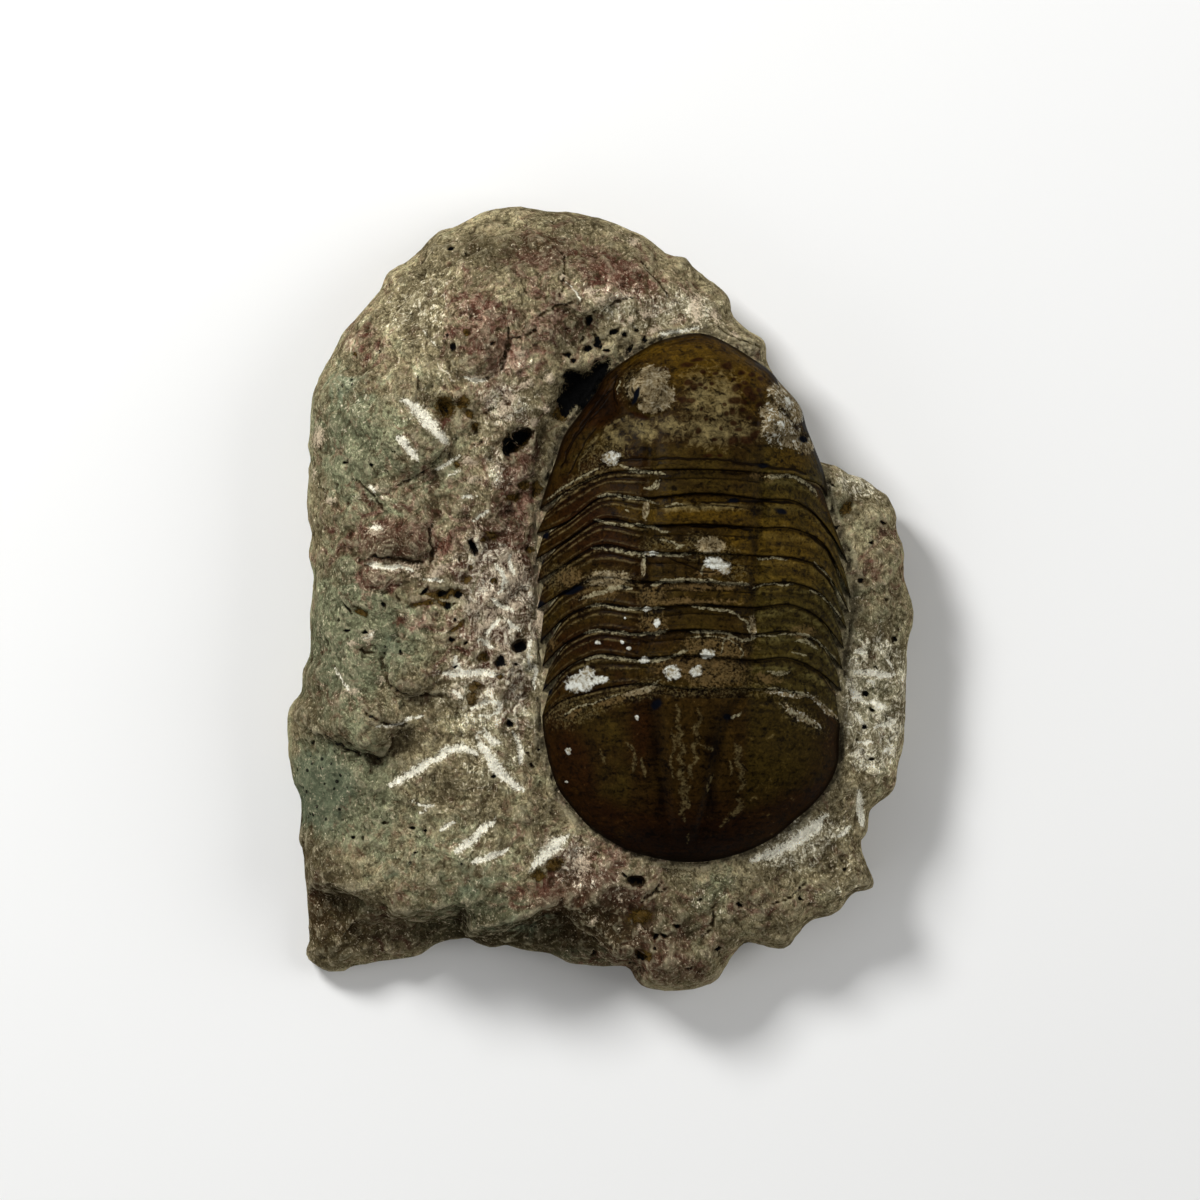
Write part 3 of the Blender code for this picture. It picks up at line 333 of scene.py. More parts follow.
# Marks on the stone, in pixels of the photo. A spot is its middle, half length, half width and any turn.
# A stroke is its points and its width.
STONE_SPOTS = {
    # Black marks, painted shade deep in pits and holes.
    "black_and_pit_shade": [
        (582, 390, 20, 16, 30), (598, 374, 14, 9, 50), (568, 402, 11, 10, 60), (604, 367, 6, 5, 30),
        (573, 378, 10, 7, 10), (588, 406, 12, 8, -20), (565, 412, 6, 5), (522, 435, 8, 6, 10),
        (510, 444, 8, 6, 60), (507, 452, 4.4, 8, 15), (516, 440, 8, 6, -40), (447, 411, 4.4, 3.4),
        (473, 547, 8, 3.5, -70), (445, 592, 7, 2.5, 10), (460, 596, 4, 3.5), (425, 591, 6, 2.2, 40),
        (448, 606, 4, 4), (520, 647, 7, 4.5, 45), (501, 661, 6, 4.5, 60), (511, 724, 2.5, 4.5, 10),
        (452, 639, 3, 2), (635, 880, 9, 4, -15), (676, 924, 3, 2), (718, 950, 3, 2),
        (455, 347, 2.5, 4.5), (590, 322, 2.5, 4), (595, 314, 1.7, 1.7), (598, 343, 3.5, 6, 10),
        (590, 350, 3, 3), (566, 356, 4, 2.2, 20), (574, 360, 3, 2), (614, 332, 4.5, 3, 30),
        (629, 350, 5, 2.2, 50), (644, 340, 3, 4), (606, 350, 2.5, 2), (584, 340, 2, 2),
        (624, 336, 2.5, 2, 20), (636, 330, 2, 1.6), (322, 488, 2, 1.5), (348, 462, 2.5, 1.5),
        (372, 465, 2, 1.4), (393, 452, 2.5, 1.5), (348, 609, 6, 1.2, -55), (383, 605, 4, 1.2, -35),
        (339, 619, 2, 1.2, 60), (348, 632, 2.5, 1.5, 20), (365, 631, 2, 1.3, -30),
        (402, 652, 2.2, 1.3, -50), (353, 837, 1.8, 1.4), (363, 837, 1.6, 1.4), (385, 821, 2.2, 1.5),
        (412, 827, 2, 1.5), (426, 829, 2, 1.6), (427, 811, 2, 1.4), (415, 853, 2, 1.5),
        (313, 741, 2, 2.5), (516, 664, 2, 1.3), (457, 666, 2, 1.4), (467, 643, 2.4, 1.6),
        (494, 776, 3.5, 2, 30), (539, 748, 2, 1.4), (528, 753, 1.8, 1.4), (540, 756, 1.6, 1.4),
        (531, 766, 1.6, 1.4), (656, 937, 3, 1.6, 40), (664, 935, 3.5, 1.8, -25), (654, 949, 1.6, 2.2),
        (595, 955, 3.2, 1.6, 50), (630, 966, 2.4, 3), (640, 957, 5, 3, -30), (624, 874, 2.5, 1.5, -40),
        (867, 694, 3, 2), (872, 710, 3, 2), (836, 527, 3, 1.7, 20), (861, 580, 3, 2.4),
        (869, 543, 1.8, 1.6), (848, 550, 2, 1.6), (884, 523, 4.5, 1.6), (822, 462, 2.6, 1.4, -10),
        (831, 485, 5, 0.9, -10), (889, 600, 2, 1.5), (897, 640, 2, 2), (863, 727, 3, 2),
        (874, 666, 2.4, 1.6), (872, 760, 2, 1.6), (857, 740, 1.6, 1.6), (845, 870, 2.4, 1.8),
        (800, 900, 2, 1.5), (740, 905, 2, 1.4), (700, 900, 1.8, 1.4), (690, 970, 2.5, 2, 20),
        (380, 352, 2, 1.4), (336, 352, 1.8, 1.4), (452, 248, 2.4, 1.6), (465, 256, 2, 1.5),
        (493, 345, 2.6, 1.6), (456, 620, 2.2, 1.4), (478, 432, 2.2, 1.6), (540, 700, 1.4, 2.5),
    ],
    "umber": [
        (447, 408, 11, 10), (464, 404, 6.5, 6.5), (470, 416, 5, 3.5, -20), (476, 427, 5, 4),
        (457, 466, 3.5, 3.5), (471, 567, 3, 2.6), (484, 658, 7, 5, 10), (472, 698, 5.5, 6.5),
        (467, 579, 5.5, 5), (494, 582, 3.5, 3), (492, 535, 6, 5), (483, 539, 3.5, 2.5),
        (531, 550, 3.5, 2.5), (467, 335, 4, 4), (355, 354, 2, 2), (513, 497, 7, 5, 20), (524, 485, 6, 5),
        (555, 864, 9, 7), (538, 875, 7, 5), (538, 490, 5, 9), (425, 604, 14, 2.6, 12),
        (445, 604, 8, 2.6, -5), (460, 626, 9, 2.4, 40), (362, 611, 7, 4, -30), (645, 955, 8, 5, -30),
        (640, 916, 12, 9, 20), (500, 676, 4, 3), (474, 686, 6, 5), (845, 508, 8, 5, 60),
        (600, 385, 20, 16), (560, 415, 8, 7), (517, 441, 12, 10, 30), (446, 594, 20, 4),
    ],
    "bruise": [
        (584, 865, 8, 7.5), (377, 530, 8, 4, 10), (377, 489, 4.5, 4), (369, 636, 5.5, 4.5, 50),
        (591, 291, 4, 3.5), (564, 278, 3, 2.6), (696, 309, 5, 11), (633, 242, 5, 4.5), (644, 316, 5, 4),
        (631, 318, 4, 3), (655, 331, 5, 3, 20), (512, 398, 6, 4), (503, 410, 4, 7, -10),
        (534, 423, 5, 3), (524, 448, 4, 3), (510, 577, 12, 8), (495, 612, 9, 3.2), (503, 647, 5, 3),
        (510, 560, 8, 4, 10), (458, 694, 5, 5.5), (474, 480, 6, 3, 20), (496, 596, 8, 4),
        (437, 575, 8, 3, 20), (444, 568, 7, 3, 10), (400, 568, 16, 3.4), (354, 645, 5, 2, -10),
        (418, 576, 5, 2.4), (640, 928, 2, 3, 10), (620, 900, 3, 1.6, -40), (592, 922, 4, 1.6, 40),
        (382, 679, 4, 2), (545, 410, 5, 3), (550, 380, 4, 4), (478, 378, 9, 2, -10), (700, 350, 4, 2),
        (676, 322, 7, 2.4, 20), (528, 385, 6, 3, 30), (486, 398, 5, 2.5, 20), (470, 462, 6, 3, -20),
        (316, 436, 5, 10), (313, 470, 3, 6), (330, 500, 4, 3), (355, 690, 6, 3, 10), (540, 620, 4, 12),
        (487, 625, 8, 5, 10), (470, 606, 7, 3.4), (516, 606, 7, 4), (548, 845, 5, 6, -30),
        (715, 318, 4, 8, 30), (735, 335, 5, 3, -30), (603, 303, 4, 3), (520, 355, 4, 2.4),
    ],
}
STONE_STROKES = {
    "chalk": [
        ([(405, 402), (417, 411), (430, 424), (447, 443)], 12),
        ([(399, 436), (409, 448), (420, 461)], 6), ([(466, 378), (478, 382), (489, 381)], 5),
        ([(425, 333), (433, 342), (443, 349)], 2), ([(563, 279), (573, 291), (583, 304)], 1.6),
        ([(389, 785), (419, 770), (456, 747), (477, 754)], 8),
        ([(477, 738), (495, 766), (510, 780), (521, 790)], 9), ([(478, 732), (502, 744)], 5),
        ([(514, 733), (519, 746), (523, 763)], 6), ([(446, 672), (462, 674), (478, 673), (503, 675)], 6),
        ([(473, 712), (478, 704), (496, 702), (502, 708), (494, 715), (476, 716)], 3.6),
        ([(497, 819), (474, 837), (457, 852)], 8), ([(440, 829), (458, 820)], 4),
        ([(473, 862), (509, 849)], 6), ([(532, 870), (546, 853), (569, 834)], 10),
        ([(376, 727), (402, 722), (425, 716)], 2.4), ([(455, 655), (459, 668), (468, 674)], 5),
        ([(484, 728), (495, 745)], 4), ([(753, 860), (775, 851), (800, 838), (827, 815)], 11),
        ([(855, 673), (868, 671), (880, 674), (895, 674)], 8), ([(856, 652), (867, 652)], 8),
        ([(888, 661), (893, 667)], 6), ([(851, 689), (858, 697), (867, 703)], 10),
        ([(872, 701), (885, 708)], 10), ([(857, 714), (862, 726)], 8),
        ([(875, 727), (886, 726), (895, 724)], 7), ([(888, 718), (895, 722)], 6),
        ([(863, 681), (870, 683), (874, 688)], 4), ([(858, 742), (874, 742)], 7),
        ([(858, 790), (862, 826)], 7), ([(838, 838), (850, 826)], 5), ([(880, 752), (892, 748)], 4),
        ([(411, 801), (430, 806)], 2.4), ([(418, 813), (436, 803)], 2.2),
        ([(336, 668), (350, 690)], 2.4), ([(437, 470), (462, 456)], 3),
        ([(366, 561), (390, 567), (414, 571)], 3.6), ([(425, 578), (448, 583)], 3),
        ([(371, 526), (384, 530)], 6), ([(497, 564), (504, 580), (498, 594)], 5),
        ([(509, 556), (514, 574)], 3.6), ([(491, 598), (514, 613)], 4.4),
        ([(500, 620), (483, 637)], 3.4), ([(478, 641), (495, 647)], 5), ([(455, 691), (464, 698)], 6),
        ([(463, 499), (474, 497)], 5), ([(372, 486), (377, 493)], 5), ([(365, 638), (374, 633)], 4.4),
        ([(474, 521), (490, 511)], 2.6), ([(448, 476), (462, 470)], 2.6), ([(528, 640), (531, 668)], 4),
        ([(536, 660), (534, 690)], 4), ([(505, 620), (522, 628)], 4),
        ([(660, 337), (684, 329), (702, 326)], 3),
    ],
    "crack": [
        ([(538, 316), (552, 311), (566, 306), (581, 304)], 1.7),
        ([(508, 325), (509, 345), (504, 362)], 1.8), ([(509, 339), (524, 337), (535, 329)], 2),
        ([(418, 377), (419, 392)], 2.4), ([(485, 414), (494, 408)], 2.6),
        ([(322, 732), (338, 744), (356, 753), (379, 758), (393, 748), (396, 740)], 3.4),
        ([(390, 646), (384, 658), (388, 680), (398, 687), (410, 694), (431, 694)], 2.4),
        ([(430, 523), (433, 545), (430, 565)], 2.4), ([(370, 556), (398, 559), (425, 562)], 3),
        ([(450, 447), (435, 463), (419, 476), (398, 485)], 1.8),
        ([(718, 329), (735, 338), (750, 344), (761, 350)], 2), ([(366, 712), (385, 722), (408, 724)], 3),
        ([(350, 648), (366, 653), (376, 652)], 1.8), ([(640, 905), (652, 893), (668, 890)], 1.6),
        ([(646, 901), (662, 880)], 1.4), ([(396, 592), (406, 606)], 1.2),
        ([(460, 909), (470, 930)], 2.4), ([(608, 310), (622, 300), (640, 300)], 1.6),
        ([(560, 250), (566, 275), (560, 300)], 1.6), ([(640, 262), (660, 285), (668, 300)], 1.6),
        ([(354, 480), (372, 492), (384, 510)], 1.6), ([(700, 940), (712, 925), (716, 905)], 1.8),
        ([(770, 905), (792, 896), (806, 880)], 1.6),
    ],
}

# Soft regions of colour on the stone: middle, half length and half width in pixels, strength and any turn.
STONE_REGIONS = {
    "plum": [
        (376, 584, 20, 9, 0.8), (316, 905, 10, 30, 1.2), (612, 925, 16, 20, 0.5),
        (536, 252, 30, 24, 0.9), (612, 272, 42, 22, 0.9, -15), (560, 318, 38, 30, 0.7),
        (500, 368, 44, 30, 0.7, 20), (480, 330, 30, 24, 0.5), (520, 462, 26, 46, 0.75),
        (492, 562, 46, 60, 0.8), (392, 542, 52, 32, 1.0), (478, 660, 40, 40, 0.7),
        (366, 345, 24, 20, 0.7, -30), (590, 892, 66, 60, 0.95), (660, 960, 60, 40, 0.6),
        (514, 720, 22, 40, 0.4), (340, 700, 30, 20, 0.35), (440, 480, 40, 20, 0.4, 20),
        (660, 290, 40, 30, 0.4), (422, 620, 30, 16, 0.5), (880, 560, 30, 40, 0.45),
        (470, 300, 30, 40, 0.5, 20), (520, 600, 24, 80, 0.4), (455, 420, 50, 30, 0.35),
        (370, 930, 60, 30, 0.5), (780, 905, 60, 30, 0.35),
    ],
    "sage": [
        (345, 440, 44, 70, 0.8), (338, 640, 44, 80, 1.0), (335, 790, 50, 44, 1.4),
        (440, 850, 80, 60, 0.35), (392, 640, 50, 46, 0.6), (420, 470, 50, 60, 0.4),
        (470, 900, 70, 30, 0.35), (520, 800, 40, 50, 0.2), (880, 680, 30, 90, 0.5),
        (700, 910, 60, 40, 0.3), (520, 930, 90, 26, 0.8), (840, 500, 30, 30, 0.3),
        (590, 950, 40, 16, 0.7),
    ],
    # Dark regions, partly darker stone and partly painted shade on the lower front and beside the lumps.
    "dark_stone_and_shade": [
        (535, 245, 24, 14, 0.5), (476, 246, 44, 16, 0.5), (378, 585, 16, 6, 0.5),
        (330, 920, 34, 56, 1.15), (400, 935, 90, 26, 0.7), (536, 935, 84, 24, 1.0),
        (640, 935, 120, 70, 0.5), (590, 905, 60, 40, 0.35), (345, 795, 60, 50, 0.5),
        (790, 900, 90, 46, 0.2), (870, 580, 46, 70, 0.35), (440, 890, 80, 30, 0.35),
        (310, 700, 26, 60, 0.5), (470, 700, 60, 36, 0.2), (392, 548, 40, 24, 0.4),
        (840, 860, 40, 50, 0.1), (620, 260, 60, 26, 0.35), (520, 240, 40, 26, 0.2),
        (690, 980, 60, 20, 0.4), (560, 400, 40, 40, 0.3), (350, 540, 40, 30, 0.15),
        (545, 450, 26, 40, 0.6, 20), (500, 340, 24, 16, 0.5, 30), (400, 745, 30, 16, 0.5, 20),
        (455, 425, 26, 16, 0.5), (300, 830, 22, 60, 0.7), (395, 545, 40, 20, 0.3),
        (850, 500, 30, 12, 0.5), (850, 620, 14, 40, 0.5), (560, 350, 24, 26, 0.4),
        (430, 700, 24, 14, 0.5), (480, 255, 30, 20, 0.4), (560, 255, 26, 26, 0.3),
    ],
    "teal": [
        (322, 792, 34, 40, 1.1, 15), (400, 865, 30, 14, 0.5, 20), (470, 880, 24, 24, 0.5),
        (392, 645, 20, 26, 0.5), (345, 385, 40, 24, 0.5), (520, 925, 60, 20, 0.4),
    ],
    "light": [
        (415, 310, 60, 50, 0.62, 20), (345, 400, 30, 60, 0.4), (480, 590, 60, 60, 0.5),
        (845, 880, 40, 40, 0.5), (870, 740, 24, 40, 0.8), (500, 590, 26, 44, 0.5, 20),
        (632, 318, 30, 16, 0.7, -20), (492, 690, 40, 26, 0.5), (565, 852, 32, 24, 0.6, -40),
        (878, 690, 26, 40, 0.8), (800, 842, 44, 22, 0.8, 30), (498, 474, 12, 22, 0.6, 20),
        (505, 405, 18, 16, 0.6), (468, 850, 40, 30, 0.4, -40), (700, 306, 12, 14, 0.6),
        (378, 498, 26, 10, 0.5), (400, 568, 30, 8, 0.4), (340, 690, 20, 24, 0.2),
        (860, 480, 30, 30, 0.3), (520, 400, 50, 50, 0.3), (880, 700, 34, 70, 0.9),
        (480, 700, 60, 60, 0.5), (690, 310, 60, 24, 0.6, -20), (860, 480, 40, 24, 0.7),
        (640, 310, 40, 24, 0.4), (490, 770, 60, 50, 0.4), (550, 860, 60, 30, 0.3),
        (420, 430, 40, 40, 0.3), (525, 640, 20, 80, 0.5), (790, 840, 60, 24, 0.5, 20),
        (440, 380, 60, 30, 0.3), (490, 580, 30, 70, 0.45), (500, 440, 40, 50, 0.35),
        (480, 300, 40, 26, 0.2, -40), (590, 300, 40, 20, 0.4), (876, 690, 26, 50, 0.5),
        (700, 905, 90, 20, 0.35), (620, 870, 50, 26, 0.3, 30),
    ],
}

# The most that overlapping regions of one colour come to.
REGION_LIMITS = {"plum": 1.1, "sage": 1.2, "dark_stone_and_shade": 1.4, "teal": 1.0, "light": 0.8}

# Marks on the shell, in the same pixels.
SHELL_SPOTS = {
    "chalk": [
        (581, 682, 12, 7.5, -8), (587, 673, 7, 6, 10), (599, 679, 9, 3.6, 10), (576, 686, 8, 5),
        (671, 672, 8, 6.5), (696, 671, 6, 4.5), (706, 653, 7, 4), (716, 564, 12, 5, -10),
        (724, 570, 5, 4), (611, 459, 8, 6.5, 15), (656, 623, 2.8, 4.4), (636, 717, 2.3, 2.3),
        (567, 782, 1.5, 1.5), (625, 618, 1.5, 1.5), (597, 642, 3, 2.2), (622, 641, 1.9, 1.6),
        (628, 648, 2.2, 2), (647, 609, 4, 2), (650, 554, 6, 2.4), (644, 660, 5, 3), (786, 402, 3, 4, 30),
        (779, 426, 4, 4), (569, 751, 2.7, 2.7),
    ],
    "ochre": [
        (569, 578, 10, 9), (651, 597, 13, 7.5), (652, 624, 12, 8), (716, 647, 27, 11), (700, 666, 38, 9),
        (716, 672, 26, 12), (553, 643, 3, 4.5), (700, 586, 46, 3.4, 1), (690, 602, 36, 3),
        (800, 632, 12, 5), (764, 678, 14, 5), (600, 594, 22, 5, 10), (762, 478, 10, 4),
        (712, 572, 16, 4), (575, 712, 10, 3, 30), (612, 700, 14, 3, 15),
    ],
    "rubble": [
        (608, 579, 24, 8, 3), (605, 455, 20, 11, 10), (716, 672, 26, 11), (588, 708, 34, 8, 24),
        (640, 690, 24, 8, 15), (560, 578, 14, 11), (651, 597, 12, 7), (652, 622, 11, 8),
        (640, 386, 18, 15, 20), (655, 397, 16, 15), (783, 398, 14, 14, 30), (778, 428, 15, 14),
        (800, 440, 10, 9), (800, 716, 24, 8, -32), (760, 690, 26, 6, -6), (700, 690, 44, 5),
        (716, 646, 26, 10), (572, 711, 20, 12, 20), (712, 553, 22, 9), (736, 572, 10, 8),
        (600, 470, 30, 5, 28), (700, 545, 16, 9), (660, 545, 16, 6), (580, 480, 30, 5, 38),
    ],
    "grey": [
        (608, 579, 22, 7, 3), (641, 388, 15, 12, 20), (656, 397, 15, 14), (654, 378, 15, 10, 10),
        (649, 408, 10, 6, -10), (783, 396, 13, 14, 30), (776, 428, 14, 14), (788, 438, 12, 9, 20),
        (768, 412, 9, 8), (795, 412, 8, 12), (710, 545, 13, 8), (751, 626, 3.4, 10), (803, 445, 9, 8),
        (640, 690, 16, 3, 15), (800, 716, 20, 4, -32), (645, 511, 2.6, 9), (643, 568, 2.6, 8),
        (820, 705, 20, 2.4, -40), (790, 694, 24, 2, -6),
    ],
    # Painted shade in notches and under the tips of the left plates.
    "notch_shade": [
        (761, 467, 6, 2.4), (732, 502, 6, 3), (780, 512, 6, 3, -20), (655, 703, 6, 4.5, 30),
        (726, 716, 4.5, 3), (574, 590, 12, 3, 15), (803, 440, 5, 4), (636, 398, 2.6, 9, -20),
        (545, 535, 4, 4), (541, 562, 4, 4), (542, 606, 4, 5), (546, 640, 4, 5), (548, 690, 5, 6),
    ],
    # Painted shade in the furrows, at the tail's rear rim and on the head.
    "painted_shade": [
        (653, 705, 7, 12), (655, 745, 6, 30, -3), (662, 795, 6, 26, -6), (712, 745, 7, 26),
        (709, 800, 6, 30, 4), (690, 862, 110, 15), (685, 838, 50, 14), (726, 716, 8, 5),
        (641, 450, 8, 4), (757, 512, 7, 5), (752, 545, 3, 9, 10), (750, 585, 3, 10), (646, 590, 3, 40),
        (630, 388, 5, 18), (600, 400, 10, 30, 40),
    ],
    "blot": [
        (688, 366, 7, 2.4), (726, 367, 5, 4), (741, 373, 3, 2.4), (751, 375, 3, 2.4, 20),
        (703, 373, 2.4, 1.8), (715, 374, 2.4, 1.8), (688, 384, 4, 3), (693, 389, 3.4, 3),
        (699, 387, 2.4, 2), (711, 385, 2, 1.8), (704, 390, 1.8, 1.6), (736, 389, 6, 3, 20),
        (748, 393, 4, 6), (751, 398, 4, 3), (734, 402, 6, 3), (743, 403, 3, 2), (682, 401, 4, 3),
        (690, 402, 5, 2.4), (758, 405, 3, 2.4), (701, 410, 2, 2), (731, 413, 2.4, 2.8),
        (726, 416, 2.4, 2.2), (741, 411, 3, 2.4), (733, 424, 2.6, 2.2), (748, 419, 2.2, 1.6),
        (738, 431, 3.2, 2.6), (698, 432, 3, 3), (755, 434, 3.4, 2.4, 30), (732, 442, 5, 3.4, 20),
        (745, 441, 6, 3), (752, 437, 3.4, 3), (706, 457, 5, 1.8), (718, 457, 2.4, 1.6),
        (672, 400, 5, 2.4), (660, 372, 8, 2.4, 10), (640, 418, 8, 2.6, -20), (697, 361, 6, 2),
        (712, 441, 2, 1.6), (720, 430, 1.8, 1.6), (760, 380, 3, 2), (733, 380, 2.2, 1.8),
        (706, 421, 1.6, 1.4), (745, 384, 2.6, 2), (758, 392, 2.4, 2), (724, 407, 1.8, 1.6),
    ],
    "honey": [
        (700, 366, 50, 26), (730, 375, 40, 30), (650, 350, 30, 10, 25), (790, 460, 20, 14),
        (780, 545, 50, 40), (700, 512, 50, 12),
    ],
    "pale": [
        (720, 404, 20, 30), (712, 432, 38, 14), (700, 508, 40, 4), (700, 396, 16, 24),
        (670, 428, 20, 8, -10), (640, 430, 20, 8, -20), (616, 440, 12, 8, -40),
    ],
    "wine": [
        (690, 835, 130, 34), (640, 730, 14, 40), (570, 790, 20, 50, -20), (590, 520, 50, 20, -30),
        (600, 548, 50, 12, -10), (600, 640, 60, 12), (604, 410, 14, 10, 40),
    ],
}
SHELL_STROKES = {
    "cream": [
        ([(597, 497), (616, 496), (643, 500), (659, 505)], 3),
        ([(595, 521), (620, 525), (646, 527), (659, 531)], 3),
        ([(592, 548), (611, 549), (632, 553), (662, 555), (689, 555)], 3.2),
        ([(579, 600), (597, 594), (614, 588), (632, 589)], 5),
        ([(650, 585), (666, 582), (700, 580), (720, 584), (748, 584)], 4.2),
        ([(586, 607), (604, 605), (620, 608), (639, 609), (664, 608)], 3.2),
        ([(584, 633), (597, 630), (620, 633), (652, 634), (666, 628)], 3.2),
        ([(584, 660), (604, 656), (627, 659), (655, 660), (687, 650)], 3.4),
        ([(620, 466), (639, 473), (664, 475)], 4), ([(654, 491), (661, 481)], 2.6),
        ([(657, 540), (678, 545)], 2.6), ([(638, 558), (644, 555), (645, 562), (641, 576)], 2.4),
        ([(646, 504), (646, 520)], 2.4), ([(764, 478), (790, 478), (806, 485), (815, 495)], 4),
        ([(690, 607), (713, 609), (727, 610), (744, 621), (748, 632)], 2.6),
        ([(690, 631), (708, 632), (725, 633), (738, 639), (754, 638)], 2.8),
        ([(690, 637), (713, 636), (736, 644), (743, 652), (739, 658)], 1.6),
        ([(754, 636), (782, 634), (800, 634), (816, 641), (834, 659)], 2.2),
        ([(794, 640), (806, 641), (816, 650)], 4), ([(757, 559), (786, 559)], 2.6),
        ([(812, 562), (828, 578), (842, 600)], 2), ([(808, 590), (822, 597), (842, 618)], 2.6),
        ([(793, 585), (766, 585), (751, 588)], 2), ([(765, 671), (780, 673), (790, 670)], 4),
        ([(786, 708), (798, 715), (810, 722), (818, 729)], 4), ([(766, 687), (790, 690), (808, 697)], 3),
        ([(726, 716), (732, 716), (741, 710)], 3), ([(640, 690), (650, 686), (659, 680)], 2),
        ([(563, 715), (578, 706), (595, 701), (620, 694)], 2),
        ([(710, 560), (700, 568), (701, 574)], 2.6),
        ([(548, 500), (556, 494), (578, 480), (600, 468)], 2),
        ([(621, 381), (617, 390), (618, 396)], 1.4), ([(644, 489), (651, 490), (656, 483)], 3.4),
        ([(667, 507), (675, 504), (681, 506)], 3.6), ([(658, 531), (664, 533), (670, 533)], 2.6),
        ([(675, 548), (682, 545)], 3.6), ([(625, 510), (630, 513)], 2.6),
        ([(719, 655), (722, 640), (736, 636)], 1.4), ([(790, 652), (806, 655)], 2),
    ],
    # Painted shadow along the seams on the axis and the right side, and dark streaks on the left cheek.
    "dark": [
        ([(700, 460), (730, 463), (766, 468), (790, 471), (806, 475)], 3), ([(650, 460), (700, 460)], 3),
        ([(700, 503), (730, 503), (766, 502), (793, 505)], 2.6),
        ([(690, 528), (724, 528), (752, 530)], 2.4),
        ([(806, 507), (820, 522), (836, 543), (850, 568)], 3), ([(808, 535), (826, 552), (842, 581)], 3),
        ([(812, 566), (830, 584), (846, 606)], 2.6), ([(600, 466), (625, 461), (650, 460)], 2.6),
        ([(668, 558), (700, 570), (716, 571)], 1.8), ([(631, 388), (637, 401)], 3),
        ([(618, 376), (613, 392), (618, 408)], 2.4),
        ([(560, 470), (575, 440), (590, 415), (604, 396)], 1.6),
        ([(569, 476), (583, 448), (596, 428)], 1.6), ([(578, 436), (596, 408), (612, 388)], 1.8),
        ([(588, 424), (600, 410)], 1.8), ([(566, 454), (580, 428), (596, 404)], 1.4),
        ([(740, 762), (748, 772)], 2),
    ],
    "crinkle": [
        ([(632, 417), (620, 420), (605, 431), (594, 441), (586, 454), (580, 465), (579, 473)], 3),
        (
            [(676, 704), (680, 714), (675, 722), (681, 730), (677, 739), (683, 748), (678, 756), (684, 764)],
            5,
        ),
        ([(684, 764), (679, 773), (685, 781), (680, 790), (685, 799), (681, 809), (685, 820)], 6),
        (
            [(697, 708), (700, 718), (694, 727), (698, 737), (691, 747), (696, 757), (689, 767), (692, 779)],
            4.4,
        ),
        ([(690, 784), (686, 794), (689, 806)], 4), ([(671, 728), (673, 744), (669, 760), (674, 778)], 3),
        ([(733, 742), (738, 752), (734, 760), (742, 766), (738, 775), (744, 782), (737, 790)], 5.4),
        ([(735, 796), (741, 804), (733, 812), (727, 818), (721, 825)], 5.4),
        ([(728, 760), (730, 776)], 3), ([(601, 748), (605, 762)], 4),
        ([(627, 742), (634, 752), (633, 771)], 4), ([(641, 757), (646, 776)], 4),
        ([(690, 830), (686, 842)], 3), ([(700, 744), (712, 748)], 3), ([(712, 772), (706, 790)], 3),
    ],
}

# How many times lighter one shade step makes a colour.
SHADE_STEP = 2.72

# Lights, which all face the middle: name, place and size in metres, power as a share of the key's.
LIGHTS = [
    ("key", (-0.36, 0.42, 0.5), 0.2, 1.0),
    ("left_fill", (-0.75, -0.45, 0.6), 0.7, 0.3),
    ("right_fill", (0.8, 0.1, 0.6), 0.7, 0.75),
]

# The floor and the end of the view in metres, the sensor and the height of the framed shell in millimetres.
FLOOR_SIZE = 8.0
FLOOR_DROP = 0.0002
VIEW_END = 10.0
SENSOR_WIDTH = 36.0
FRAMED_HEIGHT = 14.0


def hermite(x, xs, ys):
    """Smooth curve through given points, read at x, with xs rising."""
    xs, ys = np.asarray(xs, float), np.asarray(ys, float)
    slopes = np.gradient(ys, xs)
    x = np.clip(x, xs[0], xs[-1])
    i = np.clip(np.searchsorted(xs, x) - 1, 0, len(xs) - 2)
    h = xs[i + 1] - xs[i]
    t = (x - xs[i]) / h
    near = (1 + 2 * t) * (1 - t) ** 2 * ys[i] + t * (1 - t) ** 2 * h * slopes[i]
    far = t * t * (3 - 2 * t) * ys[i + 1] + t * t * (t - 1) * h * slopes[i + 1]
    return near + far


def ease(t):
    t = np.clip(t, 0.0, 1.0)
    return t * t * (3 - 2 * t)


def evenly(points, step, closed=True):
    """Points at even steps along a smooth curve through given points."""
    p = np.asarray(points, float)
    n = len(p)
    at = (lambda i: p[i % n]) if closed else (lambda i: p[min(max(i, 0), n - 1)])
    fine = []
    for i in range(n if closed else n - 1):
        a, b, c, d = at(i - 1), at(i), at(i + 1), at(i + 2)
        square, cube = 2 * a - 5 * b + 4 * c - d, 3 * b - a - 3 * c + d
        for t in np.linspace(0, 1, CURVE_PARTS, endpoint=False):
            fine.append(0.5 * (2 * b + (c - a) * t + square * t * t + cube * t**3))
    fine.append(at(n) if closed else p[-1])
    fine = np.array(fine)
    run = np.concatenate([[0], np.cumsum(np.linalg.norm(np.diff(fine, axis=0), axis=1))])
    count = max(4, round(run[-1] / step))
    where = np.linspace(0, run[-1], count, endpoint=not closed)
    return np.stack([np.interp(where, run, fine[:, 0]), np.interp(where, run, fine[:, 1])], axis=1)


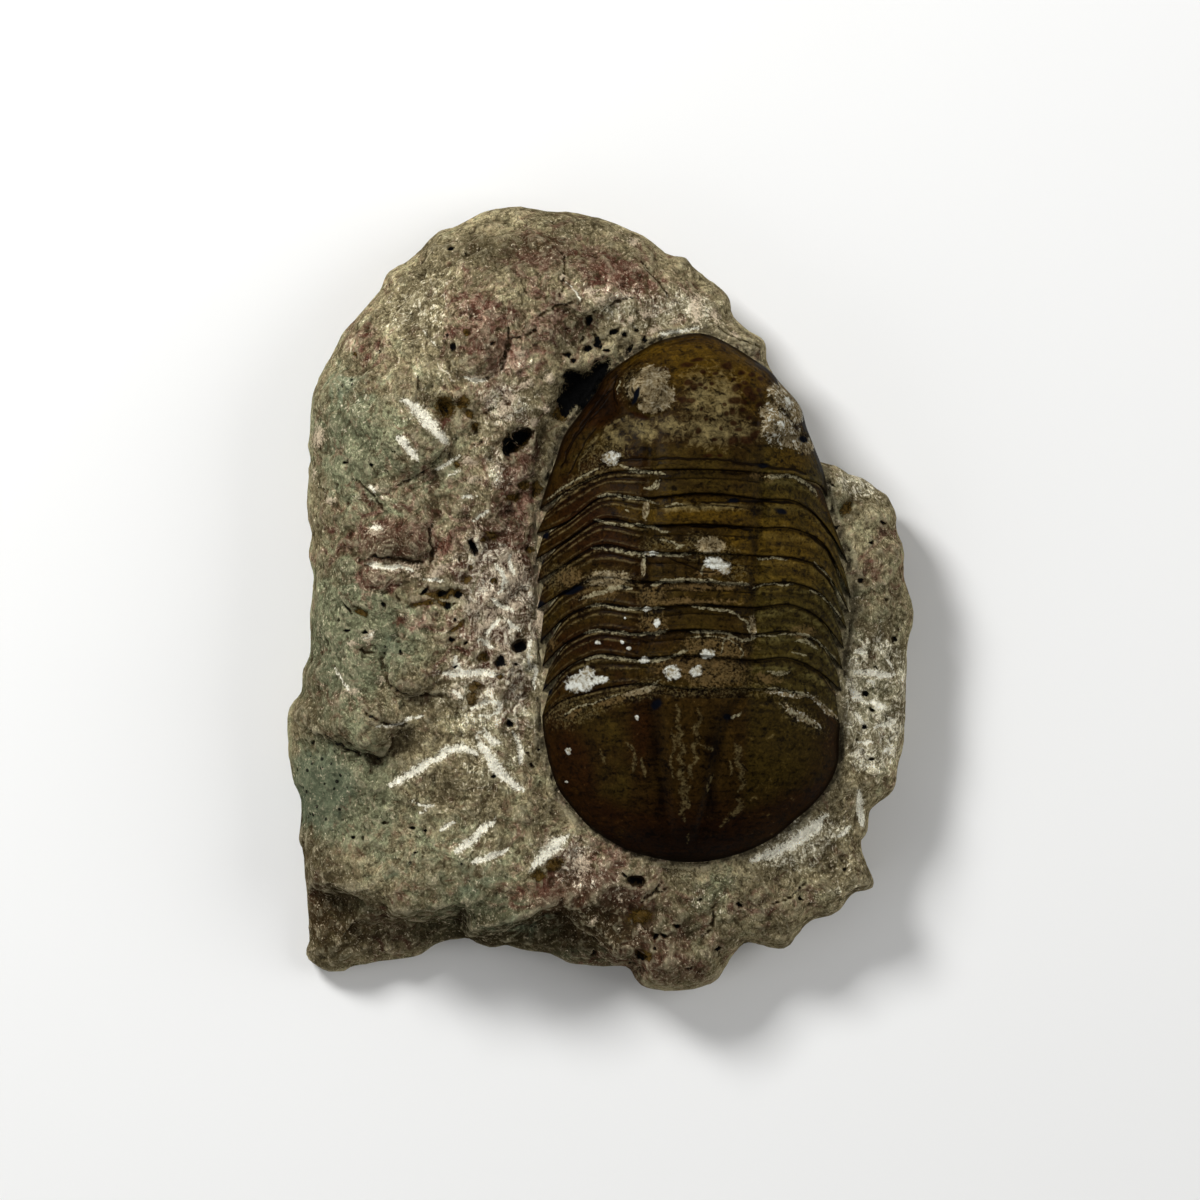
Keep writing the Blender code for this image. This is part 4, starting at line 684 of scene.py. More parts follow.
def distance_to(line, x, y, closed=True):
    """Distance from each point to a line of points, and the side: positive to the left of its travel."""
    a = np.asarray(line, float)
    b = np.roll(a, -1, axis=0)
    if not closed:
        a, b = a[:-1], b[:-1]
    best = np.full(x.shape, np.inf)
    side = np.zeros(x.shape)
    for (ax, ay), (bx, by) in zip(a, b):
        dx, dy = bx - ax, by - ay
        t = np.clip(((x - ax) * dx + (y - ay) * dy) / (dx * dx + dy * dy + 1e-12), 0, 1)
        ex, ey = x - ax - t * dx, y - ay - t * dy
        d = np.hypot(ex, ey)
        nearer = d < best
        best = np.where(nearer, d, best)
        side = np.where(nearer, dx * ey - dy * ex, side)
    return best, np.sign(side)


def inside(polygon, x, y):
    """Whether each point lies in a closed outline."""
    p = np.asarray(polygon, float)
    q = np.roll(p, -1, axis=0)
    found = np.zeros(x.shape, bool)
    for (ax, ay), (bx, by) in zip(p, q):
        if ay == by:
            continue
        crosses = ((ay > y) != (by > y)) & (x < (bx - ax) * (y - ay) / (by - ay) + ax)
        found ^= crosses
    return found


def thin_plate(marks):
    """A smooth height over the plane that passes through every mark."""
    m = np.asarray(marks, float)
    n = len(m)

    def kernel(r2):
        return 0.5 * r2 * np.log(r2 + 1e-9)

    r2 = (m[:, None, 0] - m[None, :, 0]) ** 2 + (m[:, None, 1] - m[None, :, 1]) ** 2
    ones = np.column_stack([np.ones(n), m[:, :2]])
    system = np.block([[kernel(r2), ones], [ones.T, np.zeros((3, 3))]])
    weights = np.linalg.solve(system, np.concatenate([m[:, 2], np.zeros(3)]))

    def height(x, y):
        total = weights[n] + weights[n + 1] * x + weights[n + 2] * y
        for (mx, my, _), w in zip(m, weights):
            total = total + w * kernel((x - mx) ** 2 + (y - my) ** 2)
        return total

    return height


def lattice_noise(points, size, seed=0):
    """Smooth noise from -1 to 1 at each point, with forms of about the given size."""
    p = np.asarray(points, float) / size + seed * 17.31
    cell = np.floor(p).astype(np.int64)
    f = p - cell
    w = f * f * f * (f * (f * 6 - 15) + 10)
    total = np.zeros(len(p))
    for corner in range(8):
        step = np.array([corner & 1, corner >> 1 & 1, corner >> 2 & 1])
        k = cell + step
        h = (k[:, 0] * 374761393 + k[:, 1] * 668265263 + k[:, 2] * 974634777 + seed * 362437) & 0xFFFFFFFF
        h = ((h ^ (h >> 13)) * 1274126177) & 0xFFFFFFFF
        h ^= h >> 16
        slopes = np.stack([(h & 1023), (h >> 10 & 1023), (h >> 20 & 1023)], axis=1) / 511.5 - 1
        share = np.prod(np.where(step, w, 1 - w), axis=1)
        total += share * ((f - step) * slopes).sum(axis=1)
    return total * NOISE_GAIN


def layered_noise(points, size, layers, seed=0, ridged=False):
    """Noise of several sizes, each half the last. Ridged noise has sharp crests."""
    total, weight = np.zeros(len(points)), 0.0
    for layer in range(layers):
        share = 0.5**layer
        one = lattice_noise(points, size * 0.5**layer, seed + layer)
        total += share * ((0.5 - np.abs(one)) * 2 if ridged else one)
        weight += share
    return total / weight


def place(px, py):
    """Millimetres in the part's frame of a pixel of the photo."""
    return (px - MIDDLE_PIXEL) * PIXEL, (MIDDLE_PIXEL - py) * PIXEL


def in_ellipse(x, y, centre, long, wide, turn=0):
    """Places along and across an ellipse, counted in its half length and its half width."""
    a = math.radians(turn)
    dx, dy = x - centre[0], y - centre[1]
    return (dx * math.cos(a) + dy * math.sin(a)) / long, (-dx * math.sin(a) + dy * math.cos(a)) / wide


def spot_field(x, y, spots):
    """1 at a spot's middle, one half on its outline, 0 at twice its size, and the highest of all spots."""
    total = np.zeros(x.shape)
    for px, py, long, wide, *turn in spots:
        cx, cy = place(px, py)
        reach = 2 * PIXEL * max(long, wide)
        near = np.flatnonzero((np.abs(x - cx) < reach) & (np.abs(y - cy) < reach))
        p, q = in_ellipse(x.flat[near], y.flat[near], (cx, cy), long * PIXEL, wide * PIXEL, *turn)
        total.flat[near] = np.maximum(total.flat[near], 1 - np.hypot(p, q) / 2)
    return np.clip(total, 0, 1)


def stroke_field(x, y, strokes):
    """1 along the middle of a stroke, one half at its edges, 0 a width away from its middle."""
    total = np.zeros(x.shape)
    for points, width in strokes:
        line = np.array([place(*p) for p in points])
        line = evenly(line, 0.6, closed=False) if len(line) > 2 else line
        low, high = line.min(axis=0) - width * PIXEL, line.max(axis=0) + width * PIXEL
        near = np.flatnonzero((x > low[0]) & (x < high[0]) & (y > low[1]) & (y < high[1]))
        d, _ = distance_to(line, x.flat[near], y.flat[near], closed=False)
        ends = [np.hypot(x.flat[near] - ex, y.flat[near] - ey) for ex, ey in (line[0], line[-1])]
        taper = 0.35 + 0.65 * ease(np.minimum(*ends) / (2 * width * PIXEL) + 0.1)
        total.flat[near] = np.maximum(total.flat[near], 1 - d / (width * PIXEL * taper))
    return np.clip(total, 0, 1)


def region_field(x, y, regions):
    """Sum of soft regions, each strongest in its middle."""
    total = np.zeros(x.shape)
    for px, py, long, wide, strength, *turn in regions:
        p, q = in_ellipse(x, y, place(px, py), long * PIXEL, wide * PIXEL, *turn)
        total += strength * np.exp(-(p * p + q * q))
    return total


def to_part(u, v):
    """Body frame, across and along the animal, to the part's frame."""
    tilt = math.radians(BODY_TILT_DEG)
    x = BODY_CENTRE[0] + u * math.cos(tilt) + v * math.sin(tilt)
    y = BODY_CENTRE[1] - u * math.sin(tilt) + v * math.cos(tilt)
    return x, y


def to_body(x, y):
    """The part's frame to the body frame."""
    tilt = math.radians(BODY_TILT_DEG)
    dx, dy = x - BODY_CENTRE[0], y - BODY_CENTRE[1]
    return dx * math.cos(tilt) - dy * math.sin(tilt), dx * math.sin(tilt) + dy * math.cos(tilt)


def end_reach(v):
    """0 along the thorax, rising to 1 at the tips of head and tail."""
    head = (v - HEAD_BEND) / (HEAD_END - HEAD_BEND)
    tail = (TAIL_BEND - v) / (TAIL_BEND - TAIL_END)
    return np.clip(np.maximum(head, tail), 0.0, 1.0)


def shell_half(v):
    """Half width of the shell and its middle line at v. The ends close like an ellipse."""
    table = np.array(sorted(SHELL_OUTLINE))
    closing = np.sqrt(1 - end_reach(table[:, 0]) ** 2)
    full = (table[:, 2] - table[:, 1]) / 2 / closing
    middle = (table[:, 2] + table[:, 1]) / 2
    half = hermite(v, table[:, 0], full) * np.sqrt(np.clip(1 - end_reach(v) ** 2, 0, 1))
    return half, hermite(v, table[:, 0], middle)


def margin_level(u, v):
    """Height of the shell's free edge."""
    return MARGIN_LEVEL + MARGIN_ROLL * u + MARGIN_PITCH * v


def side_reach(u, v):
    """0 on the shell's middle line, rising to 1 at its side edges."""
    half, middle = shell_half(v)
    return np.clip(np.abs(u - middle) / np.maximum(half, 1e-6), 0, 1)


def dome_height(u, v):
    """Height of the smooth dome that the shell follows."""
    fall = (1 - end_reach(v) ** 2) * (1 - side_reach(u, v) ** 2)
    crest = CREST_HEIGHT * hermite(v, *zip(*CREST_PROFILE))
    return margin_level(u, v) + crest * np.clip(fall, 0, 1) ** DOME_POWER


def axis_half(v):
    """Half width of the raised axis."""
    return np.where(v < TAIL_AXIS[-1][0], hermite(v, *zip(*TAIL_AXIS)), AXIS_HALF_WIDTH)


def axis_strength(v):
    """How far the axis stands out: less on the tail, fading at its tip, and less over the head."""
    to_tail = ease((HEAD_BEND - v) / (HEAD_BEND - TAIL_BEND)) * (1 - TAIL_AXIS_SHARE)
    at_tail = ease((v - TAIL_AXIS_TIP) / TAIL_AXIS_FADE) * (1 - to_tail)
    at_head = HEAD_AXIS_SHARE + (1 - HEAD_AXIS_SHARE) * ease((HEAD_AXIS_END - v) / HEAD_AXIS_FADE)
    return np.where(v > HEAD_BEND, at_head, at_tail)


def shell_height(u, v):
    """Height of the shell's outer face, before each plate's own lift."""
    axis = axis_half(v)
    ring = AXIS_RISE * ease((axis - np.abs(u)) / (AXIS_FLANK * axis) + AXIS_FLANK_START)
    furrow = -FURROW_DEPTH * np.exp(-(((np.abs(u) - axis) / FURROW_WIDTH) ** 2))
    relief = axis_strength(v) * (ring + furrow)
    for bu, bv, radius, rise in HEAD_BOSSES:
        relief = relief + rise * ease(BOSS_STEEPNESS * (1 - np.hypot(u - bu, v - bv) / radius))
    gap, side = distance_to(CHEEK_SUTURE, u + 0 * v, v + 0 * u, closed=False)
    on_cheek = (side < 0) & (u < 0)
    relief = relief - CHEEK_STEP * np.where(on_cheek, ease(gap), 0) * ease((v - CHEEK_REAR) / CHEEK_BLEND)
    return dome_height(u, v) + relief * ease(MARGIN_FADE * (1 - side_reach(u, v)))


def seam_line(seam, share):
    """A point of a seam: share runs from -1 at the left tip to 1 at the right one."""
    left, middle, right = seam
    across = np.array([left[0], *SEAM_STATIONS, right[0]])
    along = np.array([left[1], *middle, right[1]])
    u = np.where(share < 0, -share * left[0], share * right[0])
    return u, hermite(u, across, along)


def shield_edge(tip_left, tip_right, end, share):
    """A point of the head's or tail's free edge, at an even angle between its two corners."""
    sweep = (share + 1) / 2
    left_v, right_v = tip_left[1], tip_right[1]
    corner = np.where(sweep < 0.5, left_v, right_v)
    v = corner + (end - corner) * np.sin(math.pi * sweep)
    half, middle = shell_half(v)
    u = np.where(sweep < 0.5, middle - half, middle + half)
    return np.where(np.abs(sweep - 0.5) < 1e-9, middle, u), v


def shell_outline(margin=0.0):
    """The whole shell's outline in the part's frame, counterclockwise from the tail."""
    turn = np.linspace(-math.pi / 2, math.pi / 2, 90)
    v = (HEAD_END + TAIL_END) / 2 + (HEAD_END - TAIL_END) / 2 * np.sin(turn)
    half, middle = shell_half(v)
    grow = margin * np.cos(turn)
    right = np.stack([middle + half + grow, v + margin * np.sin(turn)], axis=1)
    left = np.stack([middle - half - grow, v + margin * np.sin(turn)], axis=1)
    ring = np.concatenate([right, left[-2:0:-1]])
    return np.stack(to_part(ring[:, 0], ring[:, 1]), axis=1)


def lump(x, y, cx, cy, long, wide, turn, rise, steep):
    """Height of one raised lump, whose side towards the steep direction falls away faster."""
    r = np.hypot(*in_ellipse(x, y, (cx, cy), long, wide, turn))
    facing = np.cos(np.arctan2(y - cy, x - cx) - math.radians(steep))
    power = LUMP_POWER + LUMP_POWER_SPREAD * facing
    return rise * np.clip(1 - np.clip(r, 0, 1) ** power, 0, 1) ** LUMP_CROWN


def rough(points, relief):
    """Coarse relief of broken stone at each point."""
    total = np.zeros(len(points))
    for size, rise in relief:
        total += rise * np.array([noise.noise(Vector(p) / size + Vector((7.3, 1.9, size))) for p in points])
    return total * ROUGH_GAIN


def stone_height(x, y, rim):
    """Height of the stone's upper face, with the trench round the shell and the core that fills it."""
    edge, _ = distance_to(STONE_EDGE, x, y)
    rim_z, rounding, _ = rim
    level = UPPER_FACE(x, y)
    for one in STONE_LUMPS:
        level = level + lump(x, y, *one)
    for points, drop, width in STONE_STEPS:
        d, side = distance_to(points, x, y, closed=False)
        level = level - drop * 0.5 * (1 - side * ease(d / width)) * np.exp(-((d / STEP_REACH) ** 2))
    for cx, cy, long, wide, turn, depth in STONE_PITS:
        level = level - lump(x, y, cx, cy, long, wide, turn, depth, 0)
    round_over = np.sqrt(1 - (1 - np.clip(edge / rounding, 0, 1)) ** 2)
    high = rim_z + (level - rim_z) * round_over
    low = rim_z + SCARP_FOOT_RISE * edge**SCARP_FOOT_POWER
    d, _ = distance_to(FRONT_SCARP, x, y)
    below = np.where(inside(FRONT_SCARP, x, y), 1, -1) * d
    high = high + (np.minimum(high, low) - high) * ease(below / SCARP_WIDTH + 0.5)
    d, _ = distance_to(SHELL_EDGE, x, y)
    u, v = to_body(x, y)
    past_thorax = ease((np.abs(v - TRENCH_MIDDLE) - TRENCH_START) / TRENCH_BLEND)
    open_joint = TRENCH_LEAST + (1 - TRENCH_LEAST) * past_thorax
    bank = margin_level(u, v) + BANK_HEIGHT * (open_joint + (1 - open_joint) * ease(d / BANK_BLEND))
    bank = np.minimum(bank, rim_z + (bank - rim_z) * round_over)
    high = high + (bank - high) * np.exp(-((d / BANK_WIDTH) ** 2))
    high = high - TRENCH_DEPTH * open_joint * np.exp(-((d / TRENCH_WIDTH) ** 2)) * round_over
    core = dome_height(u, v) - CORE_TOP * (0.5 + 0.5 * open_joint) - CORE_DEPTH * ease(d / CORE_SLOPE)
    return np.where(inside(SHELL_EDGE, x, y), core, high)


def rim_values(x, y):
    """Rim height, rounding radius and base inset near a place, from the nearest rim marks."""
    marks = np.asarray(STONE_RIM, float)
    weight = 1 / ((x[..., None] - marks[:, 0]) ** 2 + (y[..., None] - marks[:, 1]) ** 2 + RIM_BLEND) ** 2
    weight /= weight.sum(axis=-1, keepdims=True)
    return [(weight * marks[:, k]).sum(axis=-1) for k in (2, 3, 4)]


STONE_EDGE = evenly(STONE_OUTLINE, OUTLINE_STEP)
SHELL_EDGE = shell_outline(SHELL_CLEARANCE)
UPPER_FACE = thin_plate(STONE_LEVELS)


def new_grid(name, columns, rows):
    """A flat grid of columns by rows faces, as the active object."""
    bpy.ops.object.select_all(action="DESELECT")
    bpy.ops.mesh.primitive_grid_add(x_subdivisions=columns, y_subdivisions=rows, size=2)
    piece = bpy.context.object
    piece.name = name
    if len(piece.data.vertices) != (columns + 1) * (rows + 1):
        raise RuntimeError(f"{name}: the grid has {len(piece.data.vertices)} points")
    return piece


def read_values(items, name, width=1, kind=np.float32):
    """One value of each point, edge or face of a mesh, or a row of values where width is more than 1."""
    values = np.empty(len(items) * width, kind)
    items.foreach_get(name, values)
    return values.reshape(-1, width) if width > 1 else values


def read_points(piece):
    """A mesh's points, in millimetres."""
    return read_values(piece.data.vertices, "co", 3).astype(float) / MM


def move_points(piece, points):
    """Moves a mesh's points to these places, in millimetres."""
    piece.data.vertices.foreach_set("co", (np.asarray(points) * MM).astype(np.float32).ravel())
    piece.data.update()


def read_normals(piece):
    """The outward direction at each point."""
    return read_values(piece.data.vertex_normals, "vector", 3).astype(float)


def paint(piece, **fields):
    """Stores each field as a number on every point, for the materials to read."""
    for name, values in fields.items():
        layer = piece.data.attributes.new(name, "FLOAT", "POINT")
        layer.data.foreach_set("value", np.asarray(values, np.float32).ravel())


def select_faces(piece, chosen):
    """Selects these faces alone, in object mode."""
    mesh = piece.data
    mesh.vertices.foreach_set("select", np.zeros(len(mesh.vertices), bool))
    mesh.edges.foreach_set("select", np.zeros(len(mesh.edges), bool))
    mesh.polygons.foreach_set("select", np.asarray(chosen, bool))


def edit(piece, *steps):
    """Runs edit-mode steps on a piece, each an operator with its options."""
    bpy.context.view_layer.objects.active = piece
    bpy.ops.object.mode_set(mode="EDIT")
    bpy.ops.mesh.select_mode(type="FACE")
    for operator, options in steps:
        operator(**options)
    bpy.ops.object.mode_set(mode="OBJECT")


def face_centres(piece):
    """The middle of each face, in millimetres, and its outward direction."""
    faces = piece.data.polygons
    return read_values(faces, "center", 3) / MM, read_values(faces, "normal", 3)


def hollows(piece, rounds):
    """How far each point lies below its surroundings, in millimetres. Points on ridges are negative."""
    a, b = read_values(piece.data.edges, "vertices", 2, np.int32).T
    start = read_points(piece)
    count = len(start)
    degree = np.maximum(np.bincount(a, minlength=count) + np.bincount(b, minlength=count), 1)
    smooth = start
    for _ in range(rounds):
        sums = [np.bincount(a, smooth[b, k], count) + np.bincount(b, smooth[a, k], count) for k in range(3)]
        smooth = 0.5 * smooth + 0.5 * np.stack(sums, axis=1) / degree[:, None]
    return ((smooth - start) * read_normals(piece)).sum(axis=1)


def stone_sheet(name):
    """A flat sheet for the stone's upper face, cut to its outline."""
    low, high = STONE_EDGE.min(axis=0) - SHEET_MARGIN, STONE_EDGE.max(axis=0) + SHEET_MARGIN
    columns, rows = (round(reach / STONE_GRID_STEP) for reach in high - low)
    piece = new_grid(name, columns, rows)
    x = np.tile(np.linspace(low[0], high[0], columns + 1), rows + 1)
    y = np.repeat(np.linspace(low[1], high[1], rows + 1), columns + 1)
    move_points(piece, np.column_stack([x, y, np.zeros(x.size)]))
    centres, _ = face_centres(piece)
    outside = ~inside(STONE_EDGE, centres[:, 0], centres[:, 1])
    select_faces(piece, outside)
    edit(piece, (bpy.ops.mesh.delete, {"type": "FACE"}))
    return piece


def along_ring(ring, at):
    """A value part of the way from one point of a ring to the next."""
    low = np.floor(at).astype(int)
    share = at - low
    share = share[:, None] if ring.ndim > 1 else share
    return ring[low % len(ring)] * (1 - share) + ring[(low + 1) % len(ring)] * share


def nearest_on_ring(ring, x, y):
    """How far round a ring each point's nearest place lies, counted in the ring's points."""
    run = np.roll(ring, -1, axis=0) - ring
    best, at = np.full(x.shape, np.inf), np.zeros(x.shape)
    for k, ((ax, ay), (dx, dy)) in enumerate(zip(ring, run)):
        t = np.clip(((x - ax) * dx + (y - ay) * dy) / (dx * dx + dy * dy), 0, 1)
        d = np.hypot(x - ax - t * dx, y - ay - t * dy)
        at = np.where(d < best, k + t, at)
        best = np.minimum(best, d)
    return at


def border_points(piece):
    """The points on a sheet's border, and which of its edges are open."""
    mesh = piece.data
    ends = read_values(mesh.edges, "vertices", 2, np.int32)
    corner_edges = read_values(mesh.loops, "edge_index", 1, np.int32)
    open_edges = np.bincount(corner_edges, minlength=len(mesh.edges)) == 1
    return np.unique(ends[open_edges]), open_edges


def inward_directions(ring):
    """Inward directions along a clockwise ring, evened out so that walls don't cross."""
    run = np.roll(ring, -1, axis=0) - np.roll(ring, 1, axis=0)
    normal = np.column_stack([run[:, 1], -run[:, 0]])
    normal /= np.linalg.norm(normal, axis=1)[:, None]
    for _ in range(INWARD_ROUNDS):
        normal = normal + np.roll(normal, 1, axis=0) + np.roll(normal, -1, axis=0)
        normal /= np.linalg.norm(normal, axis=1)[:, None]
    return normal


def raise_sheet(piece, border):
    """Raises the sheet to the height of the stone's upper face, with its border on the outline."""
    points = read_points(piece)
    ring_at = nearest_on_ring(STONE_EDGE, *points[border, :2].T)
    points[border, :2] = along_ring(STONE_EDGE, ring_at)
    x, y = points[:, 0], points[:, 1]
    rim = rim_values(x, y)
    z = stone_height(x, y, rim)
    edge, _ = distance_to(STONE_EDGE, x, y)
    clear, _ = distance_to(SHELL_EDGE, x, y)
    loose = ease(edge / EDGE_CALM) * ease(clear / SHELL_CALM) * ~inside(SHELL_EDGE, x, y)
    z = z + loose * rough(np.column_stack([x, y, z]), TOP_RELIEF)
    z[border] = rim[0][border]
    points[:, 2] = z
    move_points(piece, points)
    ring_place = np.full(len(points), -1.0)
    ring_place[border] = ring_at
    paint(piece, ring_place=ring_place)


def extrude_walls(piece, border, open_edges):
    """Extrudes the sheet's border down, row by row, into walls that draw in to the base."""
    inward = inward_directions(STONE_EDGE)
    rim_height, _, base_inset = rim_values(STONE_EDGE[:, 0], STONE_EDGE[:, 1])
    mesh = piece.data
    mesh.vertices.foreach_set("select", np.isin(np.arange(len(mesh.vertices)), border))
    mesh.edges.foreach_set("select", open_edges)
    mesh.polygons.foreach_set("select", np.zeros(len(mesh.polygons), bool))
    for row in range(1, WALL_ROWS + 1):
        down = row / WALL_ROWS
        bpy.ops.object.mode_set(mode="EDIT")
        bpy.ops.mesh.select_mode(type="EDGE")
        bpy.ops.mesh.extrude_edges_move()
        bpy.ops.object.mode_set(mode="OBJECT")
        chosen = read_values(piece.data.vertices, "select", 1, bool)
        at = read_values(piece.data.attributes["ring_place"].data, "value")[chosen]
        rim_line = along_ring(STONE_EDGE, at)
        level = along_ring(rim_height, at) * (1 - down) - SUNK_BELOW * down
        bumps = rough(np.column_stack([rim_line, level]), SIDE_RELIEF)
        inset = along_ring(base_inset, at) * WALL_FALL * (1 - math.sqrt(1 - WALL_CURVE * down * down))
        inset = np.maximum(inset + bumps * ease(2 * down), WALL_LEAST_INSET * ease(3 * down))
        points = read_points(piece)
        points[chosen, :2] = rim_line + along_ring(inward, at) * inset[:, None]
        points[chosen, 2] = level
        move_points(piece, points)


def make_stone_block(piece):
    """Turns the sheet into a closed block with walls and a base."""
    border, open_edges = border_points(piece)
    raise_sheet(piece, border)
    extrude_walls(piece, border, open_edges)
    bpy.ops.object.mode_set(mode="EDIT")
    bpy.ops.mesh.edge_face_add()
    bpy.ops.mesh.select_all(action="SELECT")
    bpy.ops.mesh.normals_make_consistent(inside=False)
    bpy.ops.object.mode_set(mode="OBJECT")


def warped(x, y, warp):
    """Moves places a little at random, so that marks read there have natural, broken outlines."""
    flat = np.column_stack([x, y, np.zeros(x.size)])
    for seed, (size, reach) in enumerate(warp):
        x = x + reach * lattice_noise(flat, size, 80 + seed)
        y = y + reach * lattice_noise(flat, size, 90 + seed)
    return x, y


def mark_fields(x, y, spots, strokes, warp):
    """Each kind of mark's field at these places, with natural, broken outlines."""
    wx, wy = (moved.reshape(x.shape) for moved in warped(x.ravel(), y.ravel(), warp))
    fields = {name: spot_field(wx, wy, some) for name, some in spots.items()}
    for name, some in strokes.items():
        fields[name] = np.maximum(fields.get(name, 0), stroke_field(wx, wy, some))
    return fields


def refine_stone(piece, settings):
    """Evens the mesh out, then carves the fine relief of broken, scraped limestone."""
    piece.data.remesh_voxel_size = settings.grain * MM
    bpy.ops.object.voxel_remesh()
    points = read_points(piece)
    normals = read_normals(piece)
    x, y = points[:, 0], points[:, 1]
    up = ease((normals[:, 2] - 0.25) / 0.4)
    covered = inside(shell_outline(-COVERED_INSET), x, y) & (normals[:, 2] > 0)
    clear, _ = distance_to(SHELL_EDGE, x, y)
    free = np.where(covered, 0.0, ease((clear + 0.3) / 1.2))
    crags = layered_noise(points, CRAG_SIZE, 3, 20, ridged=True) - 0.5
    chips = layered_noise(points, FLAKE_SIZE, 3, 30) * FLAKES
    flakes = (np.floor(chips) + ease((chips % 1 - 0.3) / 0.4)) / FLAKES
    edge, _ = distance_to(STONE_EDGE, x, y)
    brim = 1 - BRIM_SHARE * ease(1.5 - edge)
    push = free * brim * (crags * CRAG_RISE + flakes * FLAKE_RISE)
    fields = mark_fields(x, y, STONE_SPOTS, STONE_STROKES, STONE_WARP)
    for name, (sharpness, start, rise) in STONE_MARK_RELIEF.items():
        push += up * free * rise * ease(sharpness * fields[name] - start)
    points += normals * push[:, None]
    move_points(piece, points)


def press_flat(piece):
    """Lifts what hangs below the base up to it."""
    points = read_points(piece)
    points[:, 2] = np.maximum(points[:, 2], 0)
    move_points(piece, points)


def trim_stone(piece):
    """Presses the base flat and thins the mesh where it isn't looked at closely."""
    press_flat(piece)
    centres, normals = face_centres(piece)
    x, y, z = centres.T
    under_shell = inside(shell_outline(-HIDDEN_INSET), x, y) & (normals[:, 2] > 0)
    select_faces(piece, under_shell | (z < 0.001))
    edit(piece, (bpy.ops.mesh.decimate, {"ratio": COVERED_SHARE}))
    centres, normals = face_centres(piece)
    select_faces(piece, (normals[:, 2] < 0.2) & (centres[:, 2] > 0.02))
    edit(piece, (bpy.ops.mesh.decimate, {"ratio": SIDE_SHARE}))
    press_flat(piece)


def paint_stone(piece):
    """Stores where each kind of mark and colour lies."""
    points = read_points(piece)
    normals = read_normals(piece)
    x, y = points[:, 0], points[:, 1]
    up = ease((normals[:, 2] - 0.05) / 0.35)
    clear, _ = distance_to(SHELL_EDGE, x, y)
    fields = mark_fields(x, y, STONE_SPOTS, STONE_STROKES, STONE_WARP)
    fields["bed"] = np.where(inside(SHELL_EDGE, x, y), 1.0, np.clip(1 - clear / BED_WIDTH, 0, 1))
    paint(piece, **{name: field * up for name, field in fields.items()})
    # How deep each point lies in a hollow, which the material darkens as painted shade.
    paint(piece, fine_hollow=hollows(piece, FINE_ROUNDS), wide_hollow=hollows(piece, WIDE_ROUNDS))
    for name, regions in STONE_REGIONS.items():
        paint(piece, **{name: np.minimum(region_field(x, y, regions), REGION_LIMITS[name])})


def finish_piece(piece, nodes, material):
    """Gives a finished piece its material and its body, and hides the model's parts that it stands for."""
    piece.data.materials.clear()
    piece.data.materials.append(material)
    bpy.ops.object.select_all(action="DESELECT")
    piece.select_set(True)
    bpy.context.view_layer.objects.active = piece
    bpy.ops.object.shade_smooth()
    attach(piece, "root")
    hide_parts(*nodes)


def lines_relief(along, lines):
    """Height of fine lines, each a smooth ridge or groove."""
    return sum(rise * np.exp(-(((along - middle) / width) ** 2)) for middle, width, rise in lines)


def plate_relief(across, along):
    """Fine ridges and grooves along the plates, different on the axis and on either side of it."""
    left = ease((-AXIS_HALF_WIDTH - across) / FLANK_BLEND + 0.5)
    right = ease((across - AXIS_HALF_WIDTH) / FLANK_BLEND + 0.5)
    relief = left * lines_relief(along, LEFT_LINES) + right * lines_relief(along, RIGHT_LINES)
    return relief + (1 - left - right) * lines_relief(along, AXIS_LINES)


def carve_marks(points, fields, edge):
    """Height of the marks on the shell at each point: broken crusts stand proud and rough."""
    flat = points.reshape(-1, 3)
    coarse = layered_noise(flat, 1.2, 3, 50).reshape(edge.shape)
    fine = layered_noise(flat, 0.5, 2, 60).reshape(edge.shape)
    swell = layered_noise(flat, 4.0, 2, 65).reshape(edge.shape)
    total = 0.1 * swell + 0.04 * coarse + 0.02 * fine
    for name, (sharpness, start, rise, coarse_rise, fine_rise) in SHELL_MARK_RELIEF.items():
        mark = ease(sharpness * fields[name] - start)
        total += mark * (rise + coarse_rise * coarse + fine_rise * fine)
    return total * ease(edge / PLATE_EDGE)


def close_plate(piece, thickness):
    """Turns a sheet into a closed plate, with fewer faces on its underside."""
    select_faces(piece, np.ones(len(piece.data.polygons), bool))
    edit(
        piece,
        (bpy.ops.mesh.remove_doubles, {"threshold": WELD_DISTANCE}),
        (bpy.ops.mesh.select_all, {"action": "SELECT"}),
        (bpy.ops.mesh.extrude_region_move, {"TRANSFORM_OT_translate": {"value": (0, 0, -thickness * MM)}}),
        (bpy.ops.mesh.decimate, {"ratio": UNDERSIDE_SHARE}),
        (bpy.ops.mesh.select_all, {"action": "SELECT"}),
        (bpy.ops.mesh.normals_make_consistent, {"inside": False}),
    )


def towards_tips(share, sharpness):
    """1 over the middle of a plate, falling to 0 at its two tips."""
    return ease(sharpness * (1 - np.abs(share)))


def lip(from_rear):
    """Relief of a plate's rear edge: a raised lip that drops off at the edge itself."""
    crest = LIP_RISE * ease(1 - np.abs(from_rear - LIP_PLACE) / LIP_WIDTH)
    return crest - LIP_DROP * ease(1 - from_rear / LIP_EDGE)


def place_grid(u, v, z):
    """A grid's points in the part's frame, and their distances from the shell's outline."""
    points = np.stack([*to_part(u, v), z], axis=-1)
    return points, distance_to(shell_outline(), points[..., 0], points[..., 1])[0]


